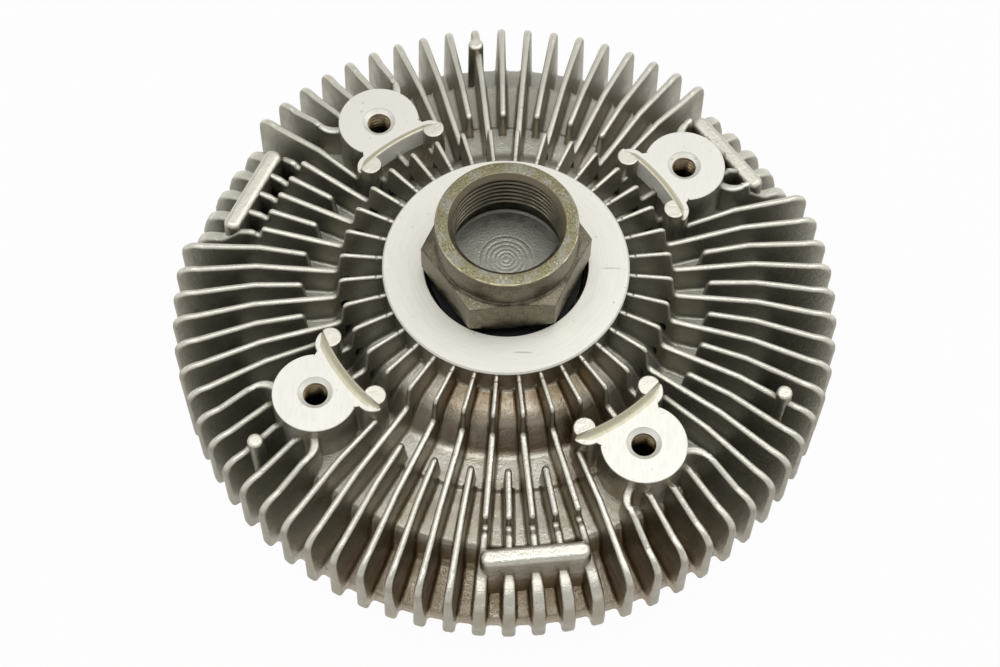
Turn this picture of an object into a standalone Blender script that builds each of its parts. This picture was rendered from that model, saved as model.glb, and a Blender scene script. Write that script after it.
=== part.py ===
"""Viscous fan clutch for an engine cooling fan, modelled at its real size in metres, +Z up.

The shaft axis is the Z axis. Heights are written above the ring plane, which is the machined rear
face round the bearing. An empty lifts the whole assembly so that the cover's fins stand on z = 0.
Radii are measured from the shaft axis. Azimuths are in degrees from +X towards +Y.
"""
import math

import bmesh
import bpy
from mathutils import Matrix, Vector

# Clearances, and how far a cutter runs past what it cuts
FIT = 0.0003
RUN_GAP = 0.0005
CUT_OVER = 0.0010

# Machined ring and bearing bore of the rear housing
RING_OUTER_R = 0.0323
RING_LIP = 0.0030
RING_CHAMFER = 0.0004

# Outer skin of the rear housing, from the ring out to the rim
INNER_FLOOR_Z = -0.0090
STEP_R = 0.0450
STEP_DRAFT = 0.0004
LEDGE_Z = -0.0194
RIB_FLOOR_Z = -0.0218
DROP_R = 0.0718
OUTER_FLOOR_Z = -0.0290
RIM_RUN = 0.0142
RIM_R = DROP_R + RIM_RUN
RIM_SLOPE = 0.0020
HOUSING_BOTTOM_Z = -0.0365
ROOF_WALL = 0.0030
POCKET_WALL = 0.0038

# Housing fins
FIN_COUNT = 72
FIN_AZIMUTH = 2.0
FIN_TIP_HALF = 0.00064
FIN_DRAFT = 0.0285
FIN_PROUD = 0.0030
FIN_R = RIM_R + FIN_PROUD
FIN_TOP_Z = -0.0098
FIN_INNER_TOP_Z = -0.0010
FIN_INNER_END_R = 0.0435
FIN_FALL_RUN = 0.0030
FIN_FALL_ROUND = 0.0020
FIN_SHORT_INSET = 0.0182
FIN_SHORT_START_R = DROP_R - FIN_SHORT_INSET
FIN_SHORT_ROUND = 0.0020
FIN_FLAT_INSET = 0.0053
FIN_FLAT_R = DROP_R - FIN_FLAT_INSET
FIN_SLOPE_INSET = 0.0065
FIN_SLOPE_R = FIN_R - FIN_SLOPE_INSET
FIN_SLOPE_DROP = 0.0039
FIN_CORNER = 0.0055
FIN_BELOW_RIM = 0.0007
FIN_SINK = 0.0018
FIN_BITE = 0.0012

# Fan pads
PAD_COUNT = 4
PAD_AZIMUTH = 36.92
PAD_PCD_R = 0.05975
PAD_R = 0.01105
PAD_Z = -0.0059
PILOT_INSET = 0.00785
PILOT_R = PAD_PCD_R - PILOT_INSET
PILOT_WALL = 0.0016
PILOT_INNER_R = PILOT_R - PILOT_WALL
PILOT_TOP_Z = -0.0042
HORN_LEDGE = 0.0021
HORN_R = PILOT_R + HORN_LEDGE
HORN_ANGLE = 15.5
EJECTOR_R = 0.0028
EJECTOR_INSET = 0.0020
EJECTOR_PCD_R = PILOT_R - EJECTOR_INSET
EJECTOR_ANGLE = 12.7
EJECTOR_TOP_Z = -0.0039
FAN_HOLE_R = 0.0034
FAN_HOLE_MOUTH_R = 0.0042
FAN_HOLE_DEPTH = 0.0140
HOOK_ANGLE = 10.0
HOOK_TURN = 3.4
HOOK_START_INSET = 0.0038
HOOK_START_R = DROP_R - HOOK_START_INSET

# Balance bars and gate pins
BAR_COUNT = 3
BAR_AZIMUTH = 37.0
BAR_OFFSET = 0.0040
BAR_R = DROP_R + BAR_OFFSET
BAR_WIDTH = 0.0044
BAR_LENGTH = 0.0278
BAR_TOP_Z = -0.0132
BAR_EDGE = 0.0009
BAR_END_ROUND = 0.0014
BAR_STUB_DROP = 0.0005
BAR_FIN_Z = -0.0183
BAR_FIN_FALL = 0.0042
NOTCH_INSET = 0.0046
NOTCH_R = DROP_R - NOTCH_INSET
NOTCH_WIDTH = 0.0030
NOTCH_SLOPE = 0.0009
NOTCH_Z = -0.0150
PIN_COUNT = 3
PIN_AZIMUTH = 97.4
PIN_INSET = 0.0073
PIN_PCD_R = RIM_R - PIN_INSET
PIN_R = 0.0021
PIN_TOP_Z = -0.0098

# Working chamber and rotor
CHAMBER_WALL = 0.0021
CHAMBER_R = DROP_R - CHAMBER_WALL
LAND_START = 0.0030
LAND_START_R = STEP_R + LAND_START
LAND_PITCH = 0.0068
LAND_COUNT = int((CHAMBER_R - LAND_START_R) / LAND_PITCH)
LAND_WIDTH = 0.0029
LAND_HEIGHT = 0.0026
POCKET_R = STEP_R - POCKET_WALL
ROTOR_RIM_GAP = 0.0007
ROTOR_WEB = 0.0025
ROTOR_HUB_R = 0.0150
ROTOR_HUB_INSET = 0.0018
ROTOR_HOLE_COUNT = 4
ROTOR_HOLE_R = 0.0030
ROTOR_HOLE_PCD_R = 0.0300

# Ball bearing
BEARING_BORE_R = 0.0125
BEARING_OUTER_R = 0.0235
RING_COVER = 0.00203
RING_INNER_R = BEARING_OUTER_R - RING_COVER
BEARING_WIDTH = 0.0120
BALL_COUNT = 9
BALL_SHARE = 0.3455
BALL_R = BALL_SHARE * (BEARING_OUTER_R - BEARING_BORE_R)
RACE_SHARE = 0.2636
RACE_LAND = RACE_SHARE * (BEARING_OUTER_R - BEARING_BORE_R)
GROOVE_GAP = 0.0004
SEAL_THICKNESS = 0.0008
CAGE_HALF_WALL = 0.0005
BOSS_WALL = 0.0040
BOSS_LIP = 0.0012
CIRCLIP_THICKNESS = 0.0012
CIRCLIP_DEPTH = 0.0011
CIRCLIP_WIDTH = 0.0030
CIRCLIP_GAP_ANGLE = 24.0

# Hub: threaded cup, collar, hexagon and shaft in one piece
CUP_TOP_Z = 0.02037
COLLAR_R = 0.01813
COLLAR_CHAMFER = 0.0007
HEX_ACROSS_FLATS = 0.0381
HEX_TOP_Z = 0.01105
HEX_BOTTOM_Z = 0.0012
HEX_CHAMFER = 0.0011
HEX_AZIMUTH = 5.7
CUP_BORE_R = 0.01455
CUP_MOUTH = 0.0008
CUP_THREAD_LENGTH = 0.0130
CUP_RELIEF_R = 0.0152
CUP_RELIEF_LENGTH = 0.0025
CUP_FLOOR_R = 0.0138
CUP_FLOOR_Z = 0.0005
DIMPLE_R = 0.0016
SHOULDER_R = 0.0156
ROTOR_SEAT_R = 0.0100
SHAFT_END = 0.0009

# Front cover
COVER_FLANGE_INSET = 0.0060
COVER_FLANGE_R = RIM_R - COVER_FLANGE_INSET
COVER_FLANGE = 0.0036
COVER_WALL = 0.0035
PLATE_SEAT_INSET = 0.0093
PLATE_SEAT_R = CHAMBER_R - PLATE_SEAT_INSET
RESERVOIR_R = 0.0450
RESERVOIR_DEPTH = 0.0051
COVER_BOSS_R = 0.0080
COVER_BOSS_PROUD = 0.0009
O_RING_R = 0.0009
COVER_FIN_COUNT = 30
COVER_FIN_HEIGHT = 0.0080
COVER_FIN_START_R = 0.0300
COVER_FIN_END_R = CHAMBER_R + FIT
COVER_FIN_HALF = 0.0009
COVER_FIN_SLOPE = 0.0045
COVER_FIN_CORNER = 0.0024
COVER_DOME_RUN = 0.0020
COVER_SCREW_COUNT = 6
COVER_SCREW_AZIMUTH = 7.5
COVER_SCREW_INSET = 0.0042
COVER_SCREW_PCD_R = COVER_FLANGE_R - COVER_SCREW_INSET
SCREW_R = 0.0025
SCREW_HEAD_R = 0.0038
SCREW_HEAD = 0.0032
SCREW_GRIP = 0.0040

# Pump plate
PLATE_THICKNESS = 0.0012
PLATE_PORT_R = 0.0030
PLATE_PORT_PCD_R = 0.0300
PLATE_RETURN_R = 0.0020
PLATE_RETURN_INSET = 0.0044
PLATE_RETURN_PCD_R = PLATE_SEAT_R - PLATE_RETURN_INSET
PLATE_RETURN_AZIMUTH = 45.0
RIVET_COUNT = 4
RIVET_INSET = 0.0079
RIVET_PCD_R = PLATE_SEAT_R - RIVET_INSET
RIVET_R = 0.0015
RIVET_HEAD_R = 0.0028
RIVET_HEAD = 0.0006
RIVET_GRIP = 0.0030

# Valve, spindle and bimetal coil
ARM_THICKNESS = 0.0009
ARM_HALF_WIDTH = 0.0048
ARM_HUB_R = 0.0062
ARM_AZIMUTH = 20.0
SPINDLE_TOP_R = 0.0027
SPINDLE_R = 0.0035
SPINDLE_FLANGE_R = 0.0052
SPINDLE_FLANGE = 0.0010
SPINDLE_O_RING_R = 0.0006
CLIP_THICKNESS = 0.0006
CLIP_R = 0.0056
CLIP_GROOVE = 0.0008
COIL_THICKNESS = 0.0008
COIL_HEIGHT = 0.0044
COIL_INNER_R = 0.0048
COIL_OUTER_R = 0.0178
COIL_TURNS = 3.75
COIL_SLOT = 0.0013
COIL_POST_GAP = 0.0028
COIL_TANG = 0.0008
BRACKET_THICKNESS = 0.0012
BRACKET_WIDTH = 0.0080
BRACKET_LENGTH = 0.0078
BRACKET_SCREW_R = 0.0016
BRACKET_SCREW_HEAD_R = 0.0026
BRACKET_SCREW_HEAD = 0.0020
BRACKET_SCREW_GRIP = 0.0022

# Facets
SKIN_STEPS = FIN_COUNT // 2
CORE_STEPS = COVER_FIN_COUNT
HUB_STEPS = 20
BEARING_STEPS = 20

# Heights that follow from the sizes above
BEARING_TOP_Z = -(RING_LIP + FIT)
BEARING_BOTTOM_Z = BEARING_TOP_Z - BEARING_WIDTH
BALL_Z = BEARING_TOP_Z - BEARING_WIDTH / 2
BALL_PCD_R = (BEARING_BORE_R + BEARING_OUTER_R) / 2
CIRCLIP_TOP_Z = BEARING_BOTTOM_Z - FIT
HOUSING_BORE_R = BEARING_OUTER_R + FIT
BOSS_BOTTOM_Z = CIRCLIP_TOP_Z - CIRCLIP_THICKNESS - 2 * FIT - BOSS_LIP
LAND_ROOF_Z = RIB_FLOOR_Z - ROOF_WALL
LAND_TIP_Z = LAND_ROOF_Z - LAND_HEIGHT
ROTOR_TOP_Z = LAND_TIP_Z - RUN_GAP
ROTOR_BOTTOM_Z = ROTOR_TOP_Z - ROTOR_WEB
ROTOR_HUB_BOTTOM_Z = ROTOR_BOTTOM_Z + ROTOR_HUB_INSET
SHAFT_CLIP_TOP_Z = ROTOR_HUB_BOTTOM_Z - FIT
SHAFT_END_Z = SHAFT_CLIP_TOP_Z - CIRCLIP_THICKNESS - SHAFT_END
COVER_RIM_Z = ROTOR_BOTTOM_Z - 2 * RUN_GAP
PLATE_TOP_Z = COVER_RIM_Z - RUN_GAP
PLATE_BOTTOM_Z = PLATE_TOP_Z - PLATE_THICKNESS
COVER_LEDGE_Z = PLATE_BOTTOM_Z - FIT
ARM_TOP_Z = PLATE_BOTTOM_Z - FIT
ARM_BOTTOM_Z = ARM_TOP_Z - ARM_THICKNESS
SPINDLE_FLANGE_TOP_Z = ARM_BOTTOM_Z - FIT
COVER_BOSS_TOP_Z = SPINDLE_FLANGE_TOP_Z - SPINDLE_FLANGE - FIT
RESERVOIR_Z = COVER_LEDGE_Z - RESERVOIR_DEPTH
COVER_FACE_Z = RESERVOIR_Z - COVER_WALL
COVER_BOSS_BOTTOM_Z = COVER_FACE_Z - COVER_BOSS_PROUD
FLANGE_TOP_Z = HOUSING_BOTTOM_Z - FIT
FLANGE_BOTTOM_Z = FLANGE_TOP_Z - COVER_FLANGE
COVER_FOOT_Z = COVER_FACE_Z - COVER_FIN_HEIGHT
CLIP_TOP_Z = COVER_BOSS_BOTTOM_Z - FIT
COIL_TOP_Z = CLIP_TOP_Z - CLIP_THICKNESS - FIT
COIL_BOTTOM_Z = COIL_TOP_Z - COIL_HEIGHT
SPIGOT_R = CHAMBER_R - FIT
ROTOR_R = CHAMBER_R - ROTOR_RIM_GAP
SEAT_R = BEARING_BORE_R - FIT
COIL_POST_R = COIL_OUTER_R + COIL_POST_GAP
BRACKET_SCREW_PCD_R = COIL_POST_R + BRACKET_LENGTH * 0.6
COIL_END_AZIMUTH = 360.0 * COIL_TURNS % 360.0
COVER_SCREW_LENGTH = COVER_FLANGE + SCREW_GRIP + 2 * FIT
COVER_SEAL_Z = (COVER_RIM_Z + FLANGE_TOP_Z) / 2


def clear_scene():
    for item in list(bpy.data.objects):
        bpy.data.objects.remove(item, do_unlink=True)


def new_collection(name):
    group = bpy.data.collections.new(name)
    bpy.context.scene.collection.children.link(group)
    return group


def polar(radius, azimuth, height=0.0):
    angle = math.radians(azimuth)
    return Vector((radius * math.cos(angle), radius * math.sin(angle), height))


def material(name, colour, roughness, metallic):
    made = bpy.data.materials.new(name)
    made.use_nodes = True
    shader = made.node_tree.nodes["Principled BSDF"]
    shader.inputs["Base Color"].default_value = (*colour, 1.0)
    shader.inputs["Roughness"].default_value = roughness
    shader.inputs["Metallic"].default_value = metallic
    return made


def add_object(name, mesh, finish=None):
    """Puts a mesh in the model as a part, or among the cutters when it has no finish."""
    item = bpy.data.objects.new(name, mesh)
    if finish is None:
        CUTTERS.objects.link(item)
        item.hide_render = True
        item.display_type = "WIRE"
    else:
        PARTS.objects.link(item)
        mesh.materials.append(finish)
        mesh.shade_smooth()
        mesh.set_sharp_from_angle(angle=math.radians(35))
    item.parent = FRAME
    return item


def mesh_from(bm, name):
    bmesh.ops.recalc_face_normals(bm, faces=bm.faces)
    mesh = bpy.data.meshes.new(name)
    bm.to_mesh(mesh)
    bm.free()
    return mesh


def turned_mesh(name, profile, steps, closed=True):
    """Turns a profile of (radius, height) points round the axis with a Screw modifier."""
    outline = bpy.data.meshes.new(name + "_profile")
    count = len(profile)
    edges = [(i, i + 1) for i in range(count - 1)]
    if closed:
        edges.append((count - 1, 0))
    outline.from_pydata([(r, 0.0, z) for r, z in profile], edges, [])
    spun = bpy.data.objects.new(name + "_profile", outline)
    CUTTERS.objects.link(spun)
    screw = spun.modifiers.new("Screw", "SCREW")
    screw.steps = steps
    screw.render_steps = steps
    screw.use_merge_vertices = True
    screw.merge_threshold = 0.00001
    evaluated = spun.evaluated_get(bpy.context.evaluated_depsgraph_get())
    mesh = bpy.data.meshes.new_from_object(evaluated)
    bpy.data.objects.remove(spun, do_unlink=True)
    mesh.name = name
    bm = bmesh.new()
    bm.from_mesh(mesh)
    bmesh.ops.remove_doubles(bm, verts=bm.verts, dist=0.00001)
    bmesh.ops.recalc_face_normals(bm, faces=bm.faces)
    bm.to_mesh(mesh)
    bm.free()
    return mesh


def turned(name, profile, steps, finish=None, closed=True, azimuth=0.0):
    item = add_object(name, turned_mesh(name, profile, steps, closed), finish)
    item.rotation_euler.z = math.radians(azimuth)
    return item


def boolean(item, other, operation="DIFFERENCE"):
    change = item.modifiers.new(operation.title(), "BOOLEAN")
    change.solver = "EXACT"
    change.operation = operation
    change.object = other
    return change


def add_prism(bm, outline, bottom, top):
    """Raises a flat outline of (x, y) points between two heights."""
    corners = [bm.verts.new((x, y, bottom)) for x, y in outline]
    base = bm.faces.new(corners)
    raised = bmesh.ops.extrude_face_region(bm, geom=[base])
    lifted = [e for e in raised["geom"] if isinstance(e, bmesh.types.BMVert)]
    bmesh.ops.translate(bm, verts=lifted, vec=(0.0, 0.0, top - bottom))
    return corners + lifted


def add_cylinder(bm, radius, centre, bottom, top, segments, top_radius=None):
    place = Matrix.Translation((centre.x, centre.y, (bottom + top) / 2))
    bmesh.ops.create_cone(
        bm,
        cap_ends=True,
        segments=segments,
        radius1=radius,
        radius2=radius if top_radius is None else top_radius,
        depth=top - bottom,
        matrix=place,
    )


def arc(radius, start, end, steps, centre=(0.0, 0.0)):
    points = []
    for i in range(steps + 1):
        angle = math.radians(start + (end - start) * i / steps)
        points.append((centre[0] + radius * math.cos(angle), centre[1] + radius * math.sin(angle)))
    return points


def turned_outline(outline, azimuth):
    angle = math.radians(azimuth)
    cosine = math.cos(angle)
    sine = math.sin(angle)
    return [(x * cosine - y * sine, x * sine + y * cosine) for x, y in outline]


def fin_half(height, tip_half=FIN_TIP_HALF, tip_z=FIN_INNER_TOP_Z):
    return tip_half + FIN_DRAFT * (tip_z - height)


def add_fin(bm, outline, azimuth, half=fin_half):
    """A radial fin: an outline in (radius, height), thickened evenly with draft towards its root."""
    middle = [bm.verts.new((r, 0.0, z)) for r, z in outline]
    face = bm.faces.new(middle)
    grown = bmesh.ops.extrude_face_region(bm, geom=[face])
    other = [e for e in grown["geom"] if isinstance(e, bmesh.types.BMVert)]
    for vertex in middle:
        vertex.co.y = -half(vertex.co.z)
    for vertex in other:
        vertex.co.y = half(vertex.co.z)
    spin = Matrix.Rotation(math.radians(azimuth), 3, "Z")
    bmesh.ops.rotate(bm, verts=middle + other, cent=(0.0, 0.0, 0.0), matrix=spin)


def fin_outer_top():
    """Top edge of a plain fin from its flat part out to the rounded corner."""
    end_z = FIN_TOP_Z - FIN_SLOPE_DROP
    corner = [
        (FIN_R - FIN_CORNER * (1 - math.sin(t)), end_z - FIN_CORNER * (1 - math.cos(t)))
        for t in (math.radians(45), math.radians(90))
    ]
    return [(FIN_FLAT_R, FIN_TOP_Z), (FIN_SLOPE_R, end_z)] + corner


def fin_foot():
    """Edge below the rim and back inwards, sunk into the housing's wall."""
    return [
        (FIN_R, HOUSING_BOTTOM_Z - FIN_BELOW_RIM),
        (RIM_R - FIT, HOUSING_BOTTOM_Z + FIT),
        (RIM_R - FIN_BITE, OUTER_FLOOR_Z - 2 * RIM_SLOPE),
        (DROP_R - FIT, OUTER_FLOOR_Z - FIN_SINK),
        (DROP_R - FIN_BITE, RIB_FLOOR_Z - FIN_SINK),
    ]


def fin_root():
    """Edge under the ledge, the step and the inner floor, back to the ring."""
    return [
        (STEP_R - FIT, LEDGE_Z - FIN_SINK),
        (STEP_R - FIN_BITE, INNER_FLOOR_Z - FIN_SINK),
        (RING_OUTER_R - FIN_BITE, INNER_FLOOR_Z - FIN_SINK),
    ]


def inner_top():
    """Top edge of a long fin from the ring over its high part and down to the outer level."""
    end = FIN_INNER_END_R
    return [
        (RING_OUTER_R - FIN_BITE, FIN_INNER_TOP_Z),
        (end - FIN_FALL_RUN / 3, FIN_INNER_TOP_Z),
        (end + FIN_FALL_RUN / 6, FIN_INNER_TOP_Z - FIN_FALL_ROUND),
        (end + FIN_FALL_RUN * 2 / 3, FIN_TOP_Z),
    ]


def short_start():
    start = FIN_SHORT_START_R
    return [
        (start - FIN_SHORT_ROUND / 3, LEDGE_Z - FIN_SINK),
        (start, FIN_TOP_Z - FIN_SHORT_ROUND),
        (start + FIN_SHORT_ROUND, FIN_TOP_Z),
    ]


def bar_sector_top():
    """Top edge of a fin that a balance bar crosses: a notch, a stub, the bar, then a low rounded end."""
    outside = BAR_R + BAR_WIDTH / 2
    notch_end = NOTCH_R + NOTCH_WIDTH
    return [
        (NOTCH_R, FIN_TOP_Z),
        (NOTCH_R + NOTCH_SLOPE, NOTCH_Z),
        (notch_end - NOTCH_SLOPE, NOTCH_Z),
        (notch_end, BAR_TOP_Z - BAR_STUB_DROP),
        (BAR_R, BAR_TOP_Z - 2 * BAR_STUB_DROP),
        (BAR_R, BAR_FIN_Z),
        (outside + BAR_WIDTH, BAR_FIN_Z - BAR_STUB_DROP),
        (FIN_R - FIN_SINK, BAR_FIN_Z - BAR_FIN_FALL),
        (FIN_R, BAR_FIN_Z - BAR_FIN_FALL - FIN_CORNER),
    ]


def away(azimuth, start, count):
    """Smallest angle from an azimuth to one of count equally spaced azimuths."""
    pitch = 360.0 / count
    return abs((azimuth - start + pitch / 2) % pitch - pitch / 2)


def housing_fins():
    bm = bmesh.new()
    bar_reach = math.degrees(BAR_LENGTH / 2 / BAR_R)
    for i in range(FIN_COUNT):
        azimuth = FIN_AZIMUTH + 360.0 * i / FIN_COUNT
        outer = fin_outer_top()
        if away(azimuth, BAR_AZIMUTH, BAR_COUNT) < bar_reach + 0.5 * 360.0 / FIN_COUNT:
            outer = bar_sector_top()
        if i % 2 == 0:
            add_fin(bm, short_start() + outer + fin_foot(), azimuth)
            continue
        beside_pad = abs(away(azimuth, PAD_AZIMUTH, PAD_COUNT) - HOOK_ANGLE) < 1.0
        if not beside_pad:
            add_fin(bm, inner_top() + outer + fin_foot() + fin_root(), azimuth)
            continue
        into_horn = [(PILOT_R, FIN_TOP_Z), (PILOT_R, LEDGE_Z - FIN_SINK)]
        add_fin(bm, inner_top() + into_horn + fin_root(), azimuth)
        from_pad = [(HOOK_START_R, RIB_FLOOR_Z - FIN_SINK), (HOOK_START_R, FIN_TOP_Z - FIT)]
        beyond = [point for point in outer if point[0] > HOOK_START_R + FIT]
        add_fin(bm, from_pad + beyond + fin_foot(), azimuth)
    return add_object("housing_fins", mesh_from(bm, "housing_fins"))


def pad_outline():
    """Fan pad seen along the axis: a disc round the hole with two horns along the pilot arc."""
    reach = (HORN_R**2 + PAD_PCD_R**2 - PAD_R**2) / (2 * PAD_PCD_R)
    side = math.sqrt(HORN_R**2 - reach**2)
    meet_angle = math.degrees(math.atan2(side, reach))
    disc_angle = math.degrees(math.atan2(side, reach - PAD_PCD_R))
    tip = (HORN_R - PILOT_INNER_R) / 2
    tip_centre = polar((HORN_R + PILOT_INNER_R) / 2, HORN_ANGLE)
    horn = arc(HORN_R, meet_angle, HORN_ANGLE, 2)
    horn += arc(tip, HORN_ANGLE, HORN_ANGLE + 180, 4, centre=tip_centre)[1:-1]
    upper = horn + arc(PILOT_INNER_R, HORN_ANGLE, 0, 3)
    lower = [(x, -y) for x, y in reversed(upper[:-1])]
    disc = arc(PAD_R, -disc_angle, disc_angle, 14, centre=(PAD_PCD_R, 0.0))[1:-1]
    return upper + lower + disc


def fan_pads():
    bm = bmesh.new()
    outline = pad_outline()
    for i in range(PAD_COUNT):
        azimuth = PAD_AZIMUTH + 360.0 * i / PAD_COUNT
        add_prism(bm, turned_outline(outline, azimuth), LAND_ROOF_Z + ROOF_WALL / 2, PAD_Z)
    return add_object("fan_pads", mesh_from(bm, "fan_pads"))


def pilot_crescents():
    bm = bmesh.new()
    end = HORN_ANGLE - math.degrees(FIT / HORN_R)
    ring = arc(PILOT_INNER_R + FIT, -end, end, 5) + arc(PILOT_R, end, -end, 5)
    for i in range(PAD_COUNT):
        azimuth = PAD_AZIMUTH + 360.0 * i / PAD_COUNT
        add_prism(bm, turned_outline(ring, azimuth), PAD_Z - CUT_OVER, PILOT_TOP_Z)
    return add_object("pilot_crescents", mesh_from(bm, "pilot_crescents"))


def ejector_posts():
    """Round cast posts at the horns, turned away outside the pilot down to the pad face."""
    bm = bmesh.new()
    for i in range(PAD_COUNT):
        for side in (-1, 1):
            azimuth = PAD_AZIMUTH + 360.0 * i / PAD_COUNT + side * EJECTOR_ANGLE
            centre = polar(EJECTOR_PCD_R, azimuth)
            add_cylinder(bm, EJECTOR_R, centre, LAND_ROOF_Z + ROOF_WALL / 2, EJECTOR_TOP_Z, 8)
    posts = add_object("ejector_posts", mesh_from(bm, "ejector_posts"))
    top = EJECTOR_TOP_Z + CUT_OVER
    outside = PILOT_R + 2 * EJECTOR_R
    sweep = [(PILOT_R, top), (outside, top), (outside, PAD_Z), (PILOT_R, PAD_Z)]
    boolean(posts, turned("pilot_cut", sweep, SKIN_STEPS))
    return posts


def pad_hooks():
    """Short webs that bend the fins beside a pad into the pad's wall."""
    bm = bmesh.new()
    half = fin_half(FIN_TOP_Z)
    for i in range(PAD_COUNT):
        for side in (-1, 1):
            start = polar(HOOK_START_R + FIT, side * HOOK_ANGLE).xy
            end = polar(PAD_PCD_R + PAD_R * 0.62, side * (HOOK_ANGLE - HOOK_TURN)).xy
            along = (end - start).normalized()
            across = Vector((-along.y, along.x)) * half
            corners = [start - across, start + across, end + across, end - across]
            azimuth = PAD_AZIMUTH + 360.0 * i / PAD_COUNT
            outline = turned_outline([tuple(c) for c in corners], azimuth)
            add_prism(bm, outline, RIB_FLOOR_Z - FIN_SINK / 2, FIN_TOP_Z - FIT / 2)
    return add_object("pad_hooks", mesh_from(bm, "pad_hooks"))


def balance_bars():
    """Bars that tie the fins together, with rounded ends and top edges."""
    bm = bmesh.new()
    half_wide = BAR_WIDTH / 2
    straight = BAR_LENGTH / 2 - BAR_END_ROUND
    corner = half_wide - BAR_END_ROUND
    outline = arc(BAR_END_ROUND, 0, 90, 2, centre=(BAR_R + corner, straight))
    outline += arc(BAR_END_ROUND, 90, 180, 2, centre=(BAR_R - corner, straight))
    outline += [(x, -y) for x, y in reversed(outline)]
    for i in range(BAR_COUNT):
        azimuth = BAR_AZIMUTH + 360.0 * i / BAR_COUNT
        add_prism(bm, turned_outline(outline, azimuth), OUTER_FLOOR_Z - FIN_SINK, BAR_TOP_Z)
    rims = [e for e in bm.edges if all(v.co.z > BAR_TOP_Z - FIT for v in e.verts)]
    bmesh.ops.bevel(bm, geom=rims, offset=BAR_EDGE, segments=1, affect="EDGES", profile=0.5)
    return add_object("balance_bars", mesh_from(bm, "balance_bars"))


def gate_pins():
    bm = bmesh.new()
    for i in range(PIN_COUNT):
        centre = polar(PIN_PCD_R, PIN_AZIMUTH + 360.0 * i / PIN_COUNT)
        add_cylinder(bm, PIN_R, centre, OUTER_FLOOR_Z - FIN_SINK, PIN_TOP_Z, 8)
    return add_object("gate_pins", mesh_from(bm, "gate_pins"))


def land_profile():
    """Roof of the working chamber from inside out, with its annular grooves."""
    points = []
    for i in range(LAND_COUNT):
        start = LAND_START_R + i * LAND_PITCH
        end = start + LAND_WIDTH + 2 * RUN_GAP
        points += [(start, LAND_TIP_Z), (start, LAND_ROOF_Z), (end, LAND_ROOF_Z), (end, LAND_TIP_Z)]
    return points


def housing_cavity():
    """Bearing bore, pocket round the bearing boss and working chamber, as one turned cutter."""
    bore = HOUSING_BORE_R
    groove_r = bore + CIRCLIP_DEPTH
    groove_top = CIRCLIP_TOP_Z + FIT / 2
    groove_bottom = CIRCLIP_TOP_Z - CIRCLIP_THICKNESS - FIT / 2
    boss_r = bore + BOSS_WALL
    pocket_z = INNER_FLOOR_Z - POCKET_WALL
    below = HOUSING_BOTTOM_Z - CUT_OVER
    bearing_bore = [
        (0.0, CUT_OVER),
        (RING_INNER_R, CUT_OVER),
        (RING_INNER_R, -RING_LIP),
        (bore, -RING_LIP),
        (bore, groove_top),
        (groove_r, groove_top),
        (groove_r, groove_bottom),
        (bore, groove_bottom),
        (bore, BOSS_BOTTOM_Z),
        (boss_r, BOSS_BOTTOM_Z),
        (boss_r, pocket_z),
        (POCKET_R, pocket_z),
        (POCKET_R, LAND_TIP_Z),
    ]
    chamber = [(CHAMBER_R, LAND_TIP_Z), (CHAMBER_R, below), (0.0, below)]
    return turned("housing_cavity", bearing_bore + land_profile() + chamber, CORE_STEPS, closed=False)


def ring_of_holes(name, count, pcd_r, azimuth, levels, segments=10):
    """Cutters for a ring of equal holes; levels lists (radius, height) from the mouth inwards."""
    bm = bmesh.new()
    for i in range(count):
        centre = polar(pcd_r, azimuth + 360.0 * i / count)
        rings = []
        for radius, height in levels:
            circle = []
            for k in range(segments):
                angle = 2 * math.pi * k / segments
                offset = Vector((radius * math.cos(angle), radius * math.sin(angle), height))
                circle.append(bm.verts.new(centre + offset))
            rings.append(circle)
        for lower, upper in zip(rings, rings[1:]):
            for k in range(segments):
                n = (k + 1) % segments
                bm.faces.new((lower[k], lower[n], upper[n], upper[k]))
        bm.faces.new(rings[0])
        bm.faces.new(rings[-1])
    return add_object(name, mesh_from(bm, name))


def rear_housing(finish):
    """Finned casting. The skin's facets meet inside the long fins."""
    profile = [
        (0.0, 0.0),
        (RING_OUTER_R - RING_CHAMFER, 0.0),
        (RING_OUTER_R, -RING_CHAMFER),
        (RING_OUTER_R, INNER_FLOOR_Z),
        (STEP_R, INNER_FLOOR_Z),
        (STEP_R + STEP_DRAFT, LEDGE_Z),
        (DROP_R, RIB_FLOOR_Z),
        (DROP_R + STEP_DRAFT, OUTER_FLOOR_Z),
        (RIM_R, OUTER_FLOOR_Z - 2 * RIM_SLOPE),
        (RIM_R, HOUSING_BOTTOM_Z),
        (0.0, HOUSING_BOTTOM_Z),
    ]
    facet_azimuth = FIN_AZIMUTH + 360.0 / FIN_COUNT
    body = turned("rear_housing", profile, SKIN_STEPS, finish, closed=False, azimuth=facet_azimuth)
    boolean(body, housing_fins(), "UNION")
    boolean(body, fan_pads(), "UNION")
    boolean(body, pilot_crescents(), "UNION")
    boolean(body, ejector_posts(), "UNION")
    boolean(body, pad_hooks(), "UNION")
    boolean(body, balance_bars(), "UNION")
    boolean(body, gate_pins(), "UNION")
    boolean(body, housing_cavity())
    mouth = [
        (FAN_HOLE_MOUTH_R + CUT_OVER, PAD_Z + CUT_OVER),
        (FAN_HOLE_R, PAD_Z - (FAN_HOLE_MOUTH_R - FAN_HOLE_R)),
        (FAN_HOLE_R, PAD_Z - FAN_HOLE_DEPTH),
    ]
    boolean(body, ring_of_holes("fan_holes", PAD_COUNT, PAD_PCD_R, PAD_AZIMUTH, mouth))
    tap_r = SCREW_R + FIT
    tap_end = FLANGE_BOTTOM_Z + COVER_SCREW_LENGTH
    tapped = [(tap_r, HOUSING_BOTTOM_Z - CUT_OVER), (tap_r, tap_end)]
    boolean(body, cover_screw_holes("cover_taps", tapped))
    return body


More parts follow.
